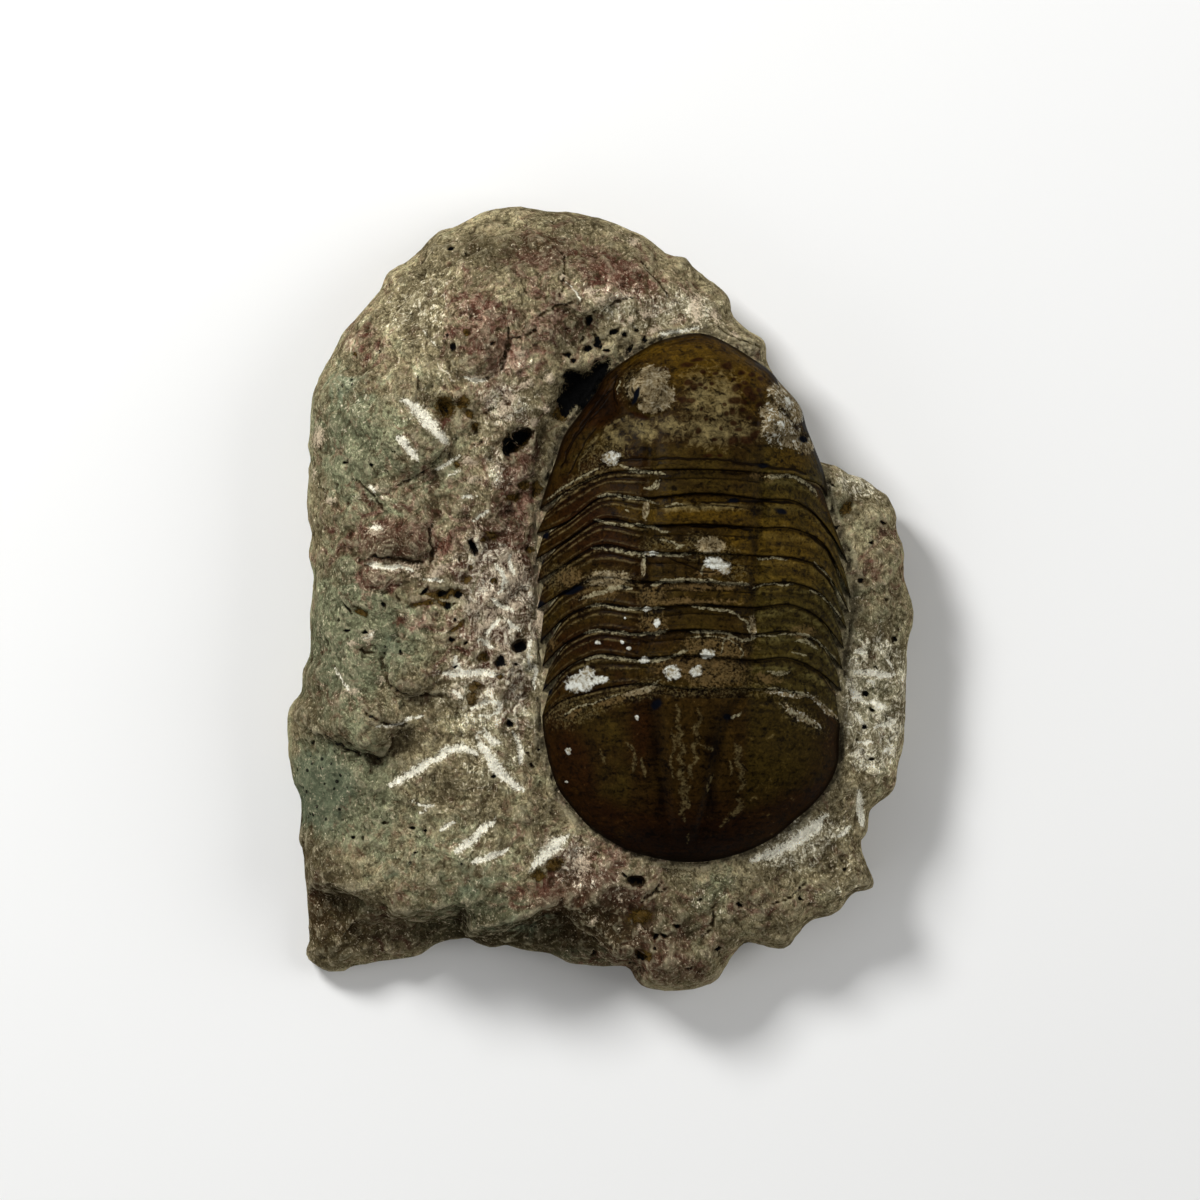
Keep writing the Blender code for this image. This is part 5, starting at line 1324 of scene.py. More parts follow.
def finish_plate(piece, points, values, settings):
    """Carves the marks into a shaped grid, stores what the material reads and closes the plate."""
    fields = mark_fields(points[..., 0], points[..., 1], SHELL_SPOTS, SHELL_STROKES, SHELL_WARP)
    points[..., 2] += carve_marks(points, fields, values["edge"])
    move_points(piece, points.reshape(-1, 3))
    paint(piece, **values, **fields)
    close_plate(piece, settings.thickness)


def make_plate(piece, front, rear, settings):
    """Shapes a grid into one thorax plate: its rear edge is a raised lip over the next plate."""
    share = np.linspace(-1, 1, settings.segment_columns + 1)
    u0, v0 = seam_line(front, share)
    u1, v1 = seam_line(rear, share)
    v0 = v0 + REACH_UNDER * towards_tips(share, REACH_SHARPNESS)
    along = np.linspace(1, 0, settings.segment_rows + 1)[:, None]
    u, v = u0 + (u1 - u0) * along, v0 + (v1 - v0) * along
    u = u * (1 - TIP_SETBACK * (1 - along) * ease((np.abs(share) - 1 + TIP_LENGTH) / TIP_LENGTH))
    half, middle = shell_half(v)
    u = np.clip(u, middle - half, middle + half)
    fade = towards_tips(share, TIP_SHARPNESS)
    from_rear = (1 - along) * (v0 - v1)[None, :]
    front_dip = -FRONT_DROP * ease(1 - along / FRONT_LENGTH)
    # On the left the joints are filled with stone, and on the right the plates are worn almost flush.
    filled = ease((-AXIS_HALF_WIDTH - u) / 2) * ease((u - FILLED_TO) / 2)
    flush = ease((u - AXIS_HALF_WIDTH) / 2) * ease((FLUSH_TO - u) / 3)
    slope = (PLATE_SLOPE - 0.2 * filled - 0.25 * flush) * (along - PLATE_LEVEL)
    step = lip(from_rear) * (1 - 0.5 * filled - 0.55 * flush) + front_dip * (1 - 0.5 * flush) + slope
    z = shell_height(u, v) + step * (CORNER_SHARE + (1 - CORNER_SHARE) * fade)
    z = z + plate_relief(u, along) * fade
    points, edge = place_grid(u, v, z)
    values = {"along": along + 0 * share, "from_rear": from_rear, "across": u, "edge": edge}
    finish_plate(piece, points, values, settings)


def make_shield(piece, seam, end, lap, settings):
    """Shapes a grid into the head shield or the tail shield, from its seam to its free end."""
    is_head = end > 0
    share = np.linspace(-1, 1, settings.shield_columns + 1)
    u0, v0 = seam_line(seam, share)
    v0 = v0 + lap * towards_tips(share, REACH_SHARPNESS)
    u1, v1 = shield_edge(seam[0], seam[2], end, share)
    sweep = np.sin(np.linspace(0, math.pi / 2, settings.shield_rows + 1))[:, None]
    u, v = u0 + (u1 - u0) * sweep, v0 + (v1 - v0) * sweep
    half, middle = shell_half(v)
    u = np.clip(u, middle - half, middle + half)
    fade = towards_tips(share, TIP_SHARPNESS)
    from_seam = sweep * np.abs(v1 - v0)[None, :]
    if is_head:
        along = np.clip(1 - from_seam / PITCH, 0.55, 1)
        lift = lip(from_seam)
    else:
        along = np.clip(from_seam / PITCH, 0, 0.75)
        lift = -FRONT_DROP * ease(1 - from_seam / (FRONT_LENGTH * PITCH)) + 0.5 * plate_relief(u, along)
    z = shell_height(u, v) + lift * (CORNER_SHARE + (1 - CORNER_SHARE) * fade)
    points, edge = place_grid(u, v, z)
    values = {"along": along, "from_rear": from_seam + (0 if is_head else PITCH), "across": u, "edge": edge}
    if is_head:
        rings = np.where(u < middle, *RING_RISES) * np.sin(edge * 2 * math.pi / RING_PITCH)
        points[..., 2] += rings * ease(edge / 0.3) * ease((RING_REACH - edge) / 1.2)
    else:
        # The rows of every grid run from the rear forward, so that its faces look up.
        points = points[::-1]
        values = {name: field[::-1] for name, field in values.items()}
    finish_plate(piece, points, values, settings)


class Value:
    """A socket in shader maths: expressions on values add their nodes."""

    def __init__(self, tree, socket):
        self.tree, self.socket = tree, socket

    def __add__(self, other):
        return self.tree.maths("ADD", self, other)

    def __sub__(self, other):
        return self.tree.maths("SUBTRACT", self, other)

    def __rsub__(self, other):
        return self.tree.maths("SUBTRACT", other, self)

    def __mul__(self, other):
        return self.tree.maths("MULTIPLY", self, other)

    def __truediv__(self, other):
        return self.tree.maths("DIVIDE", self, other)

    __radd__, __rmul__ = __add__, __mul__

    def clamped(self):
        """Kept between 0 and 1."""
        return self.tree.maths("ADD", self, 0.0, clamp=True)

    def above(self, level, softness):
        """0 below a level and 1 above it, over a band of this width."""
        return ((self - level) / softness + 0.5).clamped()

    def below(self, level, softness):
        """1 below a level and 0 above it, over a band of this width."""
        return 1 - self.above(level, softness)


class Tree:
    """A material's nodes, added one at a time with their settings and their sockets' values or links."""

    def __init__(self, name):
        self.material = bpy.data.materials.new(name)
        self.material.use_nodes = True
        self.nodes, self.links = self.material.node_tree.nodes, self.material.node_tree.links
        self.nodes.clear()
        self.colour = None
        self.position = self.node("ShaderNodeTexCoord", {}, {}, "Object")

    def node(self, kind, settings, values, output=0):
        """Adds one node. A value is a number, a colour or another node's Value."""
        node = self.nodes.new(kind)
        for name, setting in settings.items():
            setattr(node, name, setting)
        for name, value in values.items():
            socket = node.inputs[name]
            if isinstance(value, Value):
                self.links.new(value.socket, socket)
            elif socket.type == "RGBA":
                socket.default_value = (*value, 1)
            else:
                socket.default_value = value
        return Value(self, node.outputs[output]) if node.outputs else None

    def maths(self, operation, *values, clamp=False):
        settings = {"operation": operation, "use_clamp": clamp}
        return self.node("ShaderNodeMath", settings, dict(enumerate(values)))

    def field(self, name):
        """What the piece's points store under this name."""
        return self.node("ShaderNodeAttribute", {"attribute_name": name}, {}, "Fac")

    def noise(self, size, detail=2.0, roughness=0.55, distortion=0.0, at=None):
        """Noise with forms of about this size in millimetres, from 0 to 1."""
        values = {
            "Vector": at or self.position,
            "Scale": 1 / (size * MM),
            "Detail": detail,
            "Roughness": roughness,
            "Distortion": distortion,
        }
        return self.node("ShaderNodeTexNoise", {}, values, "Fac")

    def cells(self, size):
        """Distance from the middle of the nearest of many scattered cells of about this size."""
        values = {"Vector": self.position, "Scale": 1 / (size * MM)}
        return self.node("ShaderNodeTexVoronoi", {}, values, "Distance")

    def mix(self, amount, a, b, blend="MIX"):
        """Colour a with this amount of colour b."""
        settings = {"data_type": "RGBA", "blend_type": blend}
        return self.node("ShaderNodeMix", settings, {0: amount, 6: a, 7: b}, 2)

    def coat(self, amount, colour):
        """Lays this amount of a colour over the material's colour so far."""
        self.colour = self.mix(amount, self.colour, colour)

    def band(self, value, middle, width):
        """1 where a value equals the middle, falling to 0 a width away from it."""
        return 1 - (self.maths("ABSOLUTE", value - middle) / width).clamped()

    def turned(self, scale=(1, 1, 1), degrees=0.0, shift=0.0):
        """Places turned about the upright axis, stretched and moved, for noise of another run."""
        values = {
            "Vector": self.position,
            "Rotation": (0, 0, math.radians(degrees)),
            "Scale": scale,
            "Location": (shift, shift, shift),
        }
        return self.node("ShaderNodeMapping", {}, values)

    def shade(self, steps):
        """Makes the material's colour so far lighter or darker by a number of shade steps."""
        self.colour = self.shaded(self.colour, steps)

    def shaded(self, colour, steps):
        """A colour made lighter by a number of shade steps, or darker where the number is negative."""
        shade = self.maths("POWER", SHADE_STEP, steps)
        grey = self.node("ShaderNodeCombineColor", {}, {0: shade, 1: shade, 2: shade})
        return self.mix(1.0, colour, grey, "MULTIPLY")

    def bump(self, height, distance, strength):
        """Shading of fine relief, where a height of 1 stands this distance out, in millimetres."""
        values = {"Height": height, "Distance": distance * MM, "Strength": strength}
        return self.node("ShaderNodeBump", {}, values)

    def surface(self, values):
        """The finished material, with these values on its shader."""
        shader = self.node("ShaderNodeBsdfPrincipled", {}, values)
        self.node("ShaderNodeOutputMaterial", {}, {"Surface": shader})
        return self.material


def make_limestone(settings):
    """Grey-green to plum limestone with dark and pale grains, scraped white, with dark pits, and painted
    shade in its hollows, along its crevices and cracks and in its pits.
    """
    t = Tree("limestone")
    # Noise of several sizes, each from about -0.5 to 0.5.
    cloud = t.noise(10.0, 2.0) - 0.5
    patch = t.noise(4.0, 4.0, 0.55, 1.4) - 0.5
    blush = t.noise(2.8, 4.0, 0.62, 1.2, at=t.turned(shift=0.3)) - 0.5
    swirl = t.noise(1.5, 5.0, 0.72, 2.0) - 0.5
    wisp = t.noise(0.8, 4.0, 0.72, 2.5, at=t.turned((1, 0.45, 1), 40)) - 0.5
    grain = t.noise(0.3, 3.0, 0.62, 0.4) - 0.5
    wide, fine = t.field("wide_hollow"), t.field("fine_hollow")
    busy = t.noise(5.0, 2.0, 0.5, 0.8, at=t.turned(shift=0.7)).above(0.5, 0.3)
    teal = (t.field("teal") + patch * 1.2 + swirl * 0.4).above(0.45, 0.3)
    speckle = (wisp * 2.5 + grain * 1.6) * (0.45 + busy * 0.55) * (1 - teal * 0.5)
    fleck = (wisp + swirl * 0.6 + grain * 0.6) * (0.7 + busy * 0.35)
    # The rock's own colours in patches, with dark patches that are partly painted shade.
    t.colour = t.mix((cloud * 1.5 + patch * 1.5).above(0.0, 0.5), settings.tan, settings.sand)
    sage = (t.field("sage") + patch * 1.6 + cloud - blush * 1.5).above(0.4, 0.5)
    t.coat(sage * 0.9, settings.sage)
    plum = (t.field("plum") + blush * 2.2 + swirl * 0.8).above(0.46, 0.45)
    rose = t.mix((swirl + patch * 0.8).above(0.02, 0.22), settings.plum, settings.rose)
    t.coat(plum, rose)
    t.coat((blush + wisp * 0.5).above(0.11, 0.12) * 0.5, settings.plum)
    bark = (swirl + wisp * 0.7 + blush * 0.5).below(-0.06, 0.16)
    t.coat(bark * (0.65 - sage * 0.3), settings.bark)
    # Dark patches: partly darker stone, partly painted shade on the stone's lower front and beside the
    # lumps.
    dark_stone_and_shade = t.field("dark_stone_and_shade") + swirl * 1.4 + patch * 1.2
    t.coat(dark_stone_and_shade.above(0.62, 0.8) * 0.92, settings.dark_stone_and_shade)
    light = t.field("light") * 1.3 + swirl * 2.2 + patch * 1.4 + wisp * 1.6
    t.coat(light.above(0.92, 0.4) * 0.85, t.mix(plum, settings.cream, settings.bruise))
    t.coat((light * 0.8 + fleck * 2.4).above(1.1, 0.35) * 0.8, settings.chalk)
    t.coat(wide.below(-0.12, 0.25) * 0.3, settings.cream)
    t.shade(swirl * 2.8 + speckle + patch * 2.6 + cloud * 2.0)
    # Painted shadow along crevices, hairlines, painted shade in the hollows, worn high spots, and dark and
    # pale grains.
    # Painted shadow: soft dark curving lines like the shadows round the lumps, also sunk a little by the
    # bump.
    shaded_crevice = t.band(t.noise(7.0, 4.0, 0.6, 1.0), 0.5, 0.03) * (patch + blush).above(0.0, 0.15)
    wrinkle = t.band(t.noise(2.3, 4.0, 0.68, 1.6), 0.5, 0.03) * (patch + grain * 0.5).above(-0.02, 0.12)
    small_wrinkle = t.band(t.noise(1.1, 3.0, 0.62, 1.2), 0.47, 0.035) * (cloud + blush).above(-0.02, 0.14)
    wrinkle = (wrinkle + small_wrinkle).clamped()
    t.coat(shaded_crevice * 0.6, settings.dark_stone_and_shade)
    t.coat(wrinkle * busy * 0.65, settings.dark_grain_and_hollow_shade)
    # Painted shade: darker in the wide and the fine hollows.
    t.coat(wide.above(0.18, 0.3) * 0.8, settings.dark_grain_and_hollow_shade)
    t.coat((fine + wisp * 0.06).above(0.05, 0.06) * 0.7, settings.dark_grain_and_hollow_shade)
    t.coat(fine.below(-0.045, 0.06) * 0.4, settings.cream)
    t.coat(fleck.below(-0.23, 0.06) * 0.85, settings.dark_grain_and_hollow_shade)
    open_rock = (0.52 - dark_stone_and_shade.above(0.3, 0.5) * 0.4) * (1 - teal * 0.7)
    t.coat(fleck.above(0.17, 0.1) * open_rock, settings.cream)
    t.coat(teal * 0.55, t.shaded(settings.teal, swirl * 2.0 + patch * 2.0 + wisp))
    specks = t.cells(1.4).below(0.2, 0.06) * (teal + blush * 2.5 + busy * 0.3).above(0.6, 0.2)
    t.coat(specks * 0.9, settings.black_and_pit_shade)
    # The listed marks, with ragged edges.
    ragged = swirl * 1.3 + wisp * 1.3 + grain * 1.0
    bed = (t.field("bed") + ragged).above(0.5, 0.5)
    t.coat(bed * 0.15, settings.cream)
    bruise = (t.field("bruise") + ragged * 1.5).above(0.5, 0.5)
    t.coat(bruise * 0.85, settings.bruise)
    scraped = t.field("chalk") + ragged
    t.coat(scraped.above(0.36, 0.5) * 0.6, settings.cream)
    t.coat(scraped.above(0.56, 0.35) * 0.95, settings.chalk)
    pale = (bruise + scraped.above(0.4, 0.4)).clamped()
    t.shade(pale * (wisp * 1.4 + grain * 1.4 + 0.1))
    stain = t.field("umber") + ragged * 0.7
    rusty = t.mix(swirl.above(-0.02, 0.12), settings.umber, settings.rust)
    t.coat(stain.above(0.5, 0.12) * 0.95, rusty)
    t.coat(t.band(stain, 0.55, 0.14) * swirl.above(-0.1, 0.15) * 0.75, settings.umber)
    crack = t.field("crack")
    # Painted shadow beside each crack, and painted shade in its black core.
    t.coat((crack + ragged * 0.5).above(0.5, 0.8) * 0.5, settings.dark_stone_and_shade)
    t.coat((crack + ragged * 0.9).above(0.8, 0.14) * 0.95, settings.black_and_pit_shade)
    # Painted shade: black deep in the pits.
    black_and_pit_shade = (t.field("black_and_pit_shade") + ragged * 0.55).above(0.5, 0.1)
    t.coat(black_and_pit_shade, settings.black_and_pit_shade)
    height = grain * 0.5 + wisp * 0.9 + swirl * 0.9 + patch * 0.5 - wrinkle * 0.35 - shaded_crevice * 0.4
    normal = t.bump(height, 0.32, 0.9)
    values = {"Base Color": t.colour, "Roughness": 1.0, "Specular IOR Level": 0.0, "Normal": normal}
    return t.surface(values)


def make_calcite(settings):
    """Dark brown calcite with a dull gloss, fine lines along the plates and stone left on it; shade and
    highlights are painted.
    """
    t = Tree("calcite_shell")
    # Noise of several sizes, each from about -0.5 to 0.5, and places on the plates.
    cloud = t.noise(7.0, 2.0) - 0.5
    patch = t.noise(2.4, 3.0, 0.6, 0.5) - 0.5
    mottle = t.noise(0.9, 4.0, 0.62, 0.8) - 0.5
    grain = t.noise(0.36, 3.0, 0.65) - 0.5
    streaks = t.noise(0.9, 3.0, 0.6, 0.3, at=t.turned((0.2, 1.5, 0.5))) - 0.5
    along, rear, edge, across = (t.field(name) for name in ("along", "from_rear", "edge", "across"))
    along = along + patch * 0.08 + mottle * 0.05
    left, right = across.below(-AXIS_HALF_WIDTH, 1.2), across.above(AXIS_HALF_WIDTH + 0.1, 1.2)
    axis = 1 - left - right
    ragged = grain * 0.8 + mottle * 1.1
    # The shell's own colours, in patches.
    t.colour = t.mix((cloud + patch).above(0.0, 0.4), settings.cocoa, settings.olive)
    t.coat(right * 0.8 + axis * 0.3, settings.olive)
    shields = rear.above(PITCH, 1.0)
    t.coat(shields * 0.4 + axis * 0.5, settings.cocoa)
    t.coat(left * (1 - shields) * 0.5, settings.wine)
    moss = (t.band(along, 0.34, 0.2) + 0.3) * (mottle + patch + streaks).above(0.0, 0.24)
    t.coat(right * (1 - shields) * moss * 0.7, settings.moss)
    wine = t.field("wine") + patch * 0.8 + shields * edge.below(3.5, 5.0) * 0.7
    t.coat(wine.above(0.5, 0.6) * 0.85, settings.wine)
    honey = t.field("honey") + patch * 1.2 + mottle * 0.6
    t.coat(honey.above(0.5, 0.6) * 0.7, settings.honey)
    pale = t.field("pale") + mottle * 1.3 + patch * 0.8 + right * 0.15
    t.coat(pale.above(0.66, 0.6) * 0.8, settings.fawn)
    # Worn ridges with a painted highlight on the right plates' front edges, and painted shade in the
    # grooves, at the places of the fine lines along the plates.
    worn_and_lit_ridges = t.band(along, 0.235, 0.06) + t.band(along, 0.46, 0.06) * 0.7 + t.band(along, 0.84, 0.05) * 0.4
    # Painted highlight along the front edge of each plate on the right.
    right_edge_highlight = t.band(along, 0.07, 0.05) * (streaks + patch + across * 0.02).above(0.3, 0.2)
    worn_and_lit_ridges = left * worn_and_lit_ridges + right * right_edge_highlight
    t.coat(worn_and_lit_ridges * (streaks + ragged * 0.8).above(-0.04, 0.3) * 0.6, settings.fawn)
    seam = left * t.band(along, 0.05, 0.07) * (streaks * 1.4 + ragged * 0.8).above(0.0, 0.25)
    t.coat(seam * edge.above(1.6, 2.0) * 0.75, settings.cream)
    # Painted shade in the grooves and the axis rings, along each plate's rear edge and in the furrows, with
    # dark mottles of the shell's own.
    shade_and_dark_mottle = left * (t.band(along, 0.14, 0.07) + t.band(along, 0.345, 0.07) * 0.8)
    rings = t.band(along, 0.42, 0.045) * (patch + streaks).above(-0.06, 0.2) + along.below(0.38, 0.1) * 0.4
    shade_and_dark_mottle = shade_and_dark_mottle + right * t.band(along, 0.62, 0.14) * (patch + streaks * 1.5).above(-0.06, 0.2) * 0.7
    shade_and_dark_mottle = shade_and_dark_mottle + axis * rings + right * t.band(along, 0.16, 0.07) * 0.7 + rear.below(0.2, 0.2)
    shade_and_dark_mottle = shade_and_dark_mottle + (streaks + mottle).below(-0.12, 0.16) * 0.5 + (grain + mottle).below(-0.16, 0.08) * 0.4
    shade_and_dark_mottle = shade_and_dark_mottle + (t.field("painted_shade") + patch * 0.6).above(0.5, 0.7) * 0.8
    t.coat(shade_and_dark_mottle.clamped() * 0.9, settings.shadow)
    blot = (t.field("blot") + ragged * 0.5).above(0.42, 0.3)
    t.coat(blot * 0.9, settings.wine)
    t.shade(mottle * 2.2 + grain * 1.6 + streaks * 0.9 + patch * 0.8)
    # Painted shade along the shell's outline.
    t.coat(edge.below(0.45, 0.5) * 0.8, settings.shadow)
    # Crusts, calcite and notches from the listed marks, with ragged edges.
    rubble = (t.field("rubble") + ragged).above(0.5, 0.35)
    t.coat(rubble * grain.above(0.05, 0.2) * 0.6, settings.fawn)
    t.coat(rubble * (grain * 0.6 + mottle * 1.3).below(-0.08, 0.16) * 0.7, settings.shadow)
    grey = (t.field("grey") + ragged * 0.45 + patch * 0.5).above(0.48, 0.12)
    clay = t.mix((mottle + grain * 0.6).below(0.0, 0.3) * 0.6, settings.putty, settings.ochre)
    clay = t.shaded(clay, patch * 2.4 + mottle * 1.8 + grain - 0.1)
    clay = t.mix((mottle + grain * 0.7).above(0.12, 0.14) * (0.12 + right * 0.55), clay, settings.chalk)
    t.coat(grey * (1 - (mottle + grain).below(-0.12, 0.08) * 0.7), clay)
    ochre = (t.field("ochre") + ragged * 1.1).above(0.52, 0.35)
    t.coat(ochre * (mottle * 3.0 + grain * 2.0 + 0.5).clamped() * 0.9, settings.ochre)
    cream = (t.field("cream") + ragged * 1.1).above(0.6, 0.3)
    t.coat(cream * (0.5 + grain * 3.0 + mottle * 2.4).clamped() * 0.9, settings.cream)
    crinkle = (t.field("crinkle") + ragged * 1.5).above(0.66, 0.5)
    t.coat(crinkle * (0.3 + mottle * 2.0 + grain * 1.5).clamped(), settings.fawn)
    # Painted shadow along seams, and dark streaks, from the listed strokes.
    dark = (t.field("dark") + ragged * 0.7).above(0.55, 0.3)
    t.coat(dark * 0.9, settings.shadow)
    chalk = (t.field("chalk") + ragged * 0.5).above(0.5, 0.2)
    whites = t.mix((grain * 0.7 + mottle + patch).above(-0.04, 0.4), settings.putty, settings.chalk)
    t.coat(chalk, whites)
    # Painted shade: black in the notches and under the tips of the left plates.
    notch_shade = (t.field("notch_shade") + ragged * 0.5).above(0.5, 0.25)
    t.coat(notch_shade, settings.notch_shade)
    stony = (chalk + grey + ochre * 0.6 + cream).clamped()
    height = mottle * 0.4 + grain * 0.25 + streaks * 0.3 + rubble * grain * 1.2
    height = height + stony * (grain + mottle) * 0.5
    normal = t.bump(height, 0.12, 0.8)
    roughness = 0.45 + mottle * 0.4 + (stony + rubble).clamped() * 0.4
    values = {"Base Color": t.colour, "Roughness": roughness, "Specular IOR Level": 0.02, "Normal": normal}
    return t.surface(values)


def tint(name, description, default):
    """A colour that a user can change."""
    return bpy.props.FloatVectorProperty(
        name=name, description=description, default=default, subtype="COLOR", size=3, min=0, max=1
    )


def count(name, description, default):
    """A number of mesh faces that a user can change."""
    return bpy.props.IntProperty(name=name, description=description, default=default, min=2)


class StoneSettings(bpy.types.PropertyGroup):
    grain: bpy.props.FloatProperty(
        name="Grain", description="Spacing of the stone's mesh, in millimetres", default=0.34, min=0.2, max=2
    )
    tan: tint("Tan", "The stone's common colour", (0.25, 0.205, 0.11))
    sand: tint("Sand", "Lighter patches of the stone", (0.39, 0.325, 0.18))
    sage: tint("Sage", "Grey-green patches", (0.19, 0.21, 0.12))
    bark: tint("Bark", "Olive-brown mottles", (0.08, 0.056, 0.026))
    teal: tint("Teal", "Smooth, blue-green patches", (0.145, 0.18, 0.112))
    plum: tint("Plum", "Purple-brown patches", (0.136, 0.052, 0.034))
    rose: tint("Rose", "Paler, pinkish patches", (0.275, 0.178, 0.124))
    cream: tint("Cream", "Bruised high spots and the bed's bank", (0.42, 0.37, 0.235))
    bruise: tint("Bruise", "Crushed, pale patches", (0.54, 0.435, 0.31))
    chalk: tint("Chalk", "Fresh tool strokes", (0.9, 0.86, 0.7))
    # Dark stone, and painted shade in dark regions, along crevices and beside cracks.
    dark_stone_and_shade: tint("Dusk", "Dark, weathered faces", (0.04, 0.028, 0.011))
    # Dark grains and hairlines, and painted shade in the hollows.
    dark_grain_and_hollow_shade: tint("Dirt", "Dirt in the hollows", (0.022, 0.014, 0.006))
    umber: tint("Umber", "Dark rusty stains", (0.018, 0.011, 0.002))
    rust: tint("Rust", "Bright rusty stains", (0.1, 0.058, 0.012))
    # Black specks, and painted shade in the pits and the cracks' cores.
    black_and_pit_shade: tint("Tar", "Black pits", (0.004, 0.004, 0.004))


class ShellSettings(bpy.types.PropertyGroup):
    thickness: bpy.props.FloatProperty(
        name="Thickness",
        description="Thickness of the shell's plates, in millimetres",
        default=0.9,
        min=0.4,
        max=1.6,
    )
    segment_columns: count("Plate columns", "Mesh faces across a plate", 330)
    segment_rows: count("Plate rows", "Mesh faces along a plate", 34)
    shield_columns: count("Shield columns", "Mesh faces across a shield", 300)
    shield_rows: count("Shield rows", "Mesh faces along a shield", 170)
    cocoa: tint("Cocoa", "The shell's common colour", (0.019, 0.0095, 0.0018))
    olive: tint("Olive", "Olive-brown shell", (0.033, 0.0225, 0.0035))
    wine: tint("Wine", "Reddish, darker shell", (0.013, 0.004, 0.0008))
    moss: tint("Moss", "Paler, worn olive shell", (0.062, 0.05, 0.015))
    honey: tint("Honey", "Thin, amber shell", (0.062, 0.034, 0.003))
    # Worn ridges, and the painted highlight on the right plates' front edges.
    fawn: tint("Fawn", "Worn ridges", (0.125, 0.097, 0.041))
    shadow: tint("Shadow", "Grooves and outer edges", (0.003, 0.0013, 0.0004))
    cream: tint("Cream", "Stone left in the seams", (0.27, 0.24, 0.145))
    putty: tint("Putty", "Stone left on the shell", (0.175, 0.14, 0.078))
    ochre: tint("Ochre", "Rusty crusts", (0.105, 0.066, 0.025))
    chalk: tint("Chalk", "White calcite", (0.58, 0.59, 0.53))
    # Painted shade in notches and under the left plates' tips.
    notch_shade: tint("Ink", "Blue-black notches", (0.0015, 0.002, 0.004))


class StageSettings(bpy.types.PropertyGroup):
    frame_width: bpy.props.FloatProperty(
        name="Frame width", description="Width of the view at the shell, in millimetres", default=168.0
    )
    camera_height: bpy.props.FloatProperty(
        name="Camera height", description="Height of the camera, in millimetres", default=1500.0
    )
    floor: tint("Floor", "The floor's colour", (0.86, 0.86, 0.85))
    key: bpy.props.FloatProperty(
        name="Key light", description="Power of the key light, in watts", default=5.2
    )
    fill: bpy.props.FloatProperty(
        name="Fill light", description="Strength of the surrounding light", default=0.2
    )


class FossilStone(bpy.types.Operator):
    """Builds the lump of limestone"""

    bl_idname = "fossil.stone"
    bl_label = "Stone"

    def execute(self, context):
        settings = context.scene.fossil_stone
        piece = stone_sheet("limestone")
        make_stone_block(piece)
        refine_stone(piece, settings)
        trim_stone(piece)
        paint_stone(piece)
        finish_piece(piece, ["matrix"], make_limestone(settings))
        return {"FINISHED"}


class FossilShell(bpy.types.Operator):
    """Builds the head shield, the eight thorax plates and the tail shield"""

    bl_idname = "fossil.shell"
    bl_label = "Shell"

    def execute(self, context):
        settings = context.scene.fossil_shell
        material = make_calcite(settings)
        head = new_grid("head_shield", settings.shield_columns, settings.shield_rows)
        make_shield(head, SEAMS[0], HEAD_END, 0.0, settings)
        finish_piece(head, ["cephalon"], material)
        for number in range(1, len(SEAMS)):
            plate = new_grid(f"thorax_plate_{number}", settings.segment_columns, settings.segment_rows)
            make_plate(plate, SEAMS[number - 1], SEAMS[number], settings)
            finish_piece(plate, [f"thorax_segment_{number}"], material)
        tail = new_grid("tail_shield", settings.shield_columns, settings.shield_rows)
        make_shield(tail, SEAMS[-1], TAIL_END, REACH_UNDER, settings)
        finish_piece(tail, ["pygidium"], material)
        return {"FINISHED"}


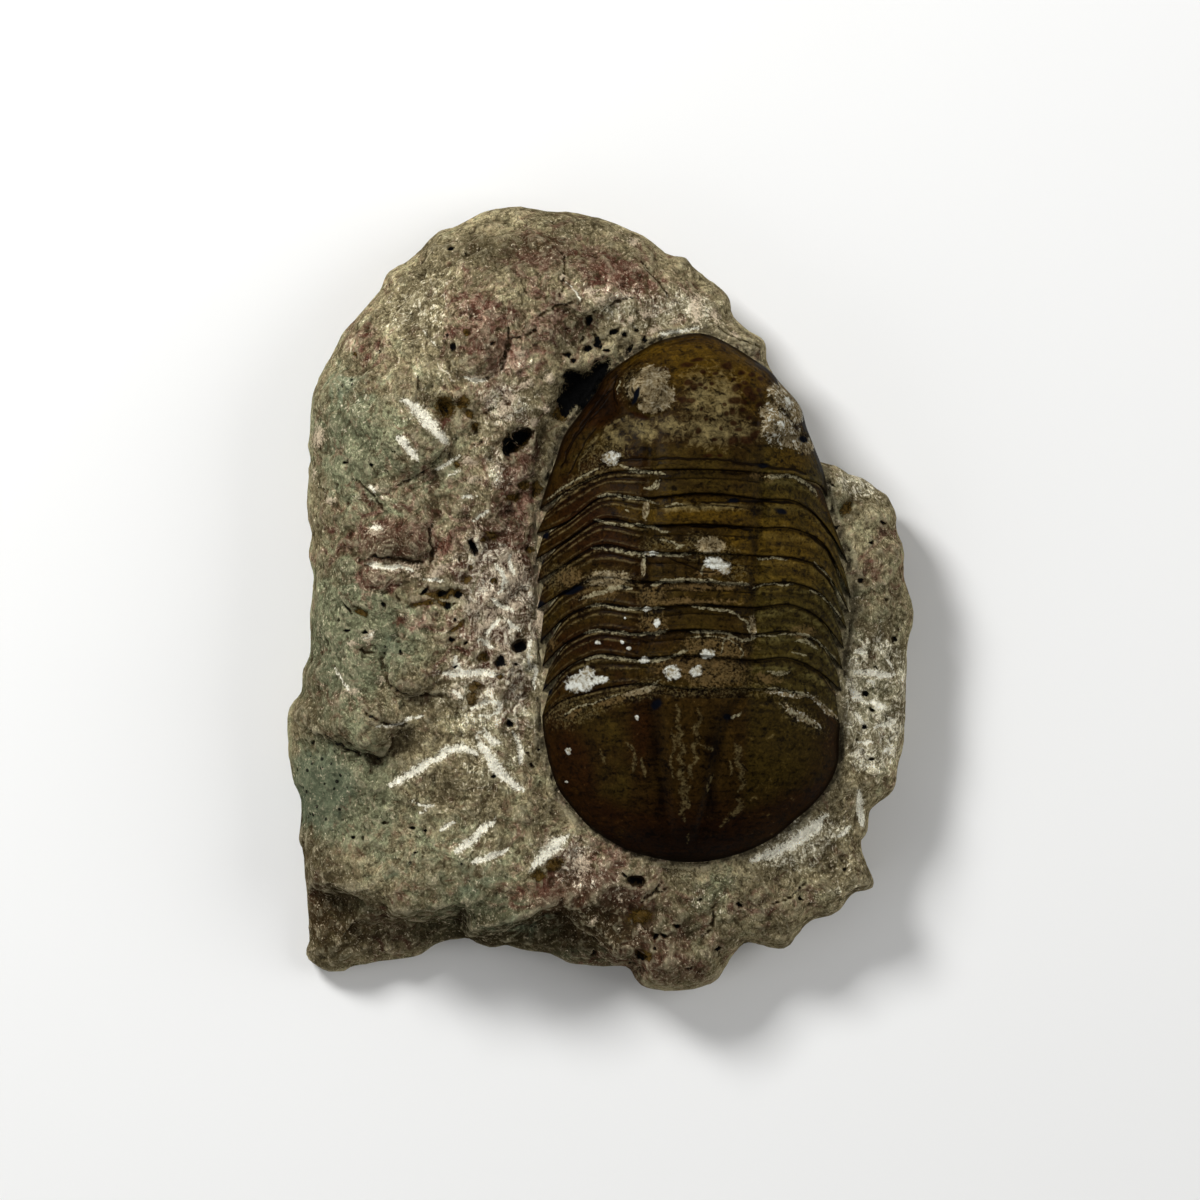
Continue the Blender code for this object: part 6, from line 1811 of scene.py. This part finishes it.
class FossilStage(bpy.types.Operator):
    """Builds the floor, the lights and the camera"""

    bl_idname = "fossil.stage"
    bl_label = "Stage"

    def execute(self, context):
        settings = context.scene.fossil_stage
        bpy.ops.object.select_all(action="DESELECT")
        bpy.ops.mesh.primitive_plane_add(size=FLOOR_SIZE, location=(0, 0, -FLOOR_DROP))
        floor = bpy.context.object
        floor.name = "floor"
        t = Tree("pale_floor")
        floor.data.materials.append(t.surface({"Base Color": tuple(settings.floor), "Roughness": 0.9}))
        world = bpy.data.worlds.new("studio")
        world.use_nodes = True
        background = world.node_tree.nodes["Background"].inputs
        background["Color"].default_value = (1, 1, 1, 1)
        background["Strength"].default_value = settings.fill
        context.scene.world = world
        for name, location, size, share in LIGHTS:
            self.add_light(name, location, size, settings.key * share)
        camera_data = bpy.data.cameras.new("camera")
        camera = bpy.data.objects.new("camera", camera_data)
        context.scene.collection.objects.link(camera)
        camera.location = (0, 0, settings.camera_height * MM)
        reach = settings.camera_height - FRAMED_HEIGHT
        camera_data.sensor_width = SENSOR_WIDTH
        camera_data.lens = SENSOR_WIDTH * reach / settings.frame_width
        camera_data.clip_end = VIEW_END
        context.scene.camera = camera
        context.scene.view_settings.view_transform = "Standard"
        return {"FINISHED"}

    @staticmethod
    def add_light(name, location, size, power):
        bpy.ops.object.light_add(type="AREA", location=location)
        light = bpy.context.object
        light.name = name
        light.data.shape = "SQUARE"
        light.data.size = size
        light.data.energy = power
        aim = -light.location.normalized()
        light.rotation_mode = "QUATERNION"
        light.rotation_quaternion = aim.to_track_quat("-Z", "Y")


class FossilPanel(bpy.types.Panel):
    """Lists the fossil's pieces and its stage"""

    bl_idname = "FOSSIL_PT_build"
    bl_label = "Fossil"
    bl_space_type = "VIEW_3D"
    bl_region_type = "UI"
    bl_category = "Fossil"

    def draw(self, context):
        for group, operator in (
            ("fossil_stone", FossilStone),
            ("fossil_shell", FossilShell),
            ("fossil_stage", FossilStage),
        ):
            box = self.layout.box()
            box.operator(operator.bl_idname)
            settings = getattr(context.scene, group)
            for name in settings.__annotations__:
                box.prop(settings, name)


GROUPS = {"fossil_stone": StoneSettings, "fossil_shell": ShellSettings, "fossil_stage": StageSettings}
CLASSES = (*GROUPS.values(), FossilStone, FossilShell, FossilStage, FossilPanel)


def register():
    for one in CLASSES:
        bpy.utils.register_class(one)
    for name, group in GROUPS.items():
        setattr(bpy.types.Scene, name, bpy.props.PointerProperty(type=group))


def unregister():
    for name in GROUPS:
        delattr(bpy.types.Scene, name)
    for one in reversed(CLASSES):
        bpy.utils.unregister_class(one)


def main():
    register()
    bpy.ops.fossil.stone()
    bpy.ops.fossil.shell()
    bpy.ops.fossil.stage()


if __name__ == "__main__":
    main()
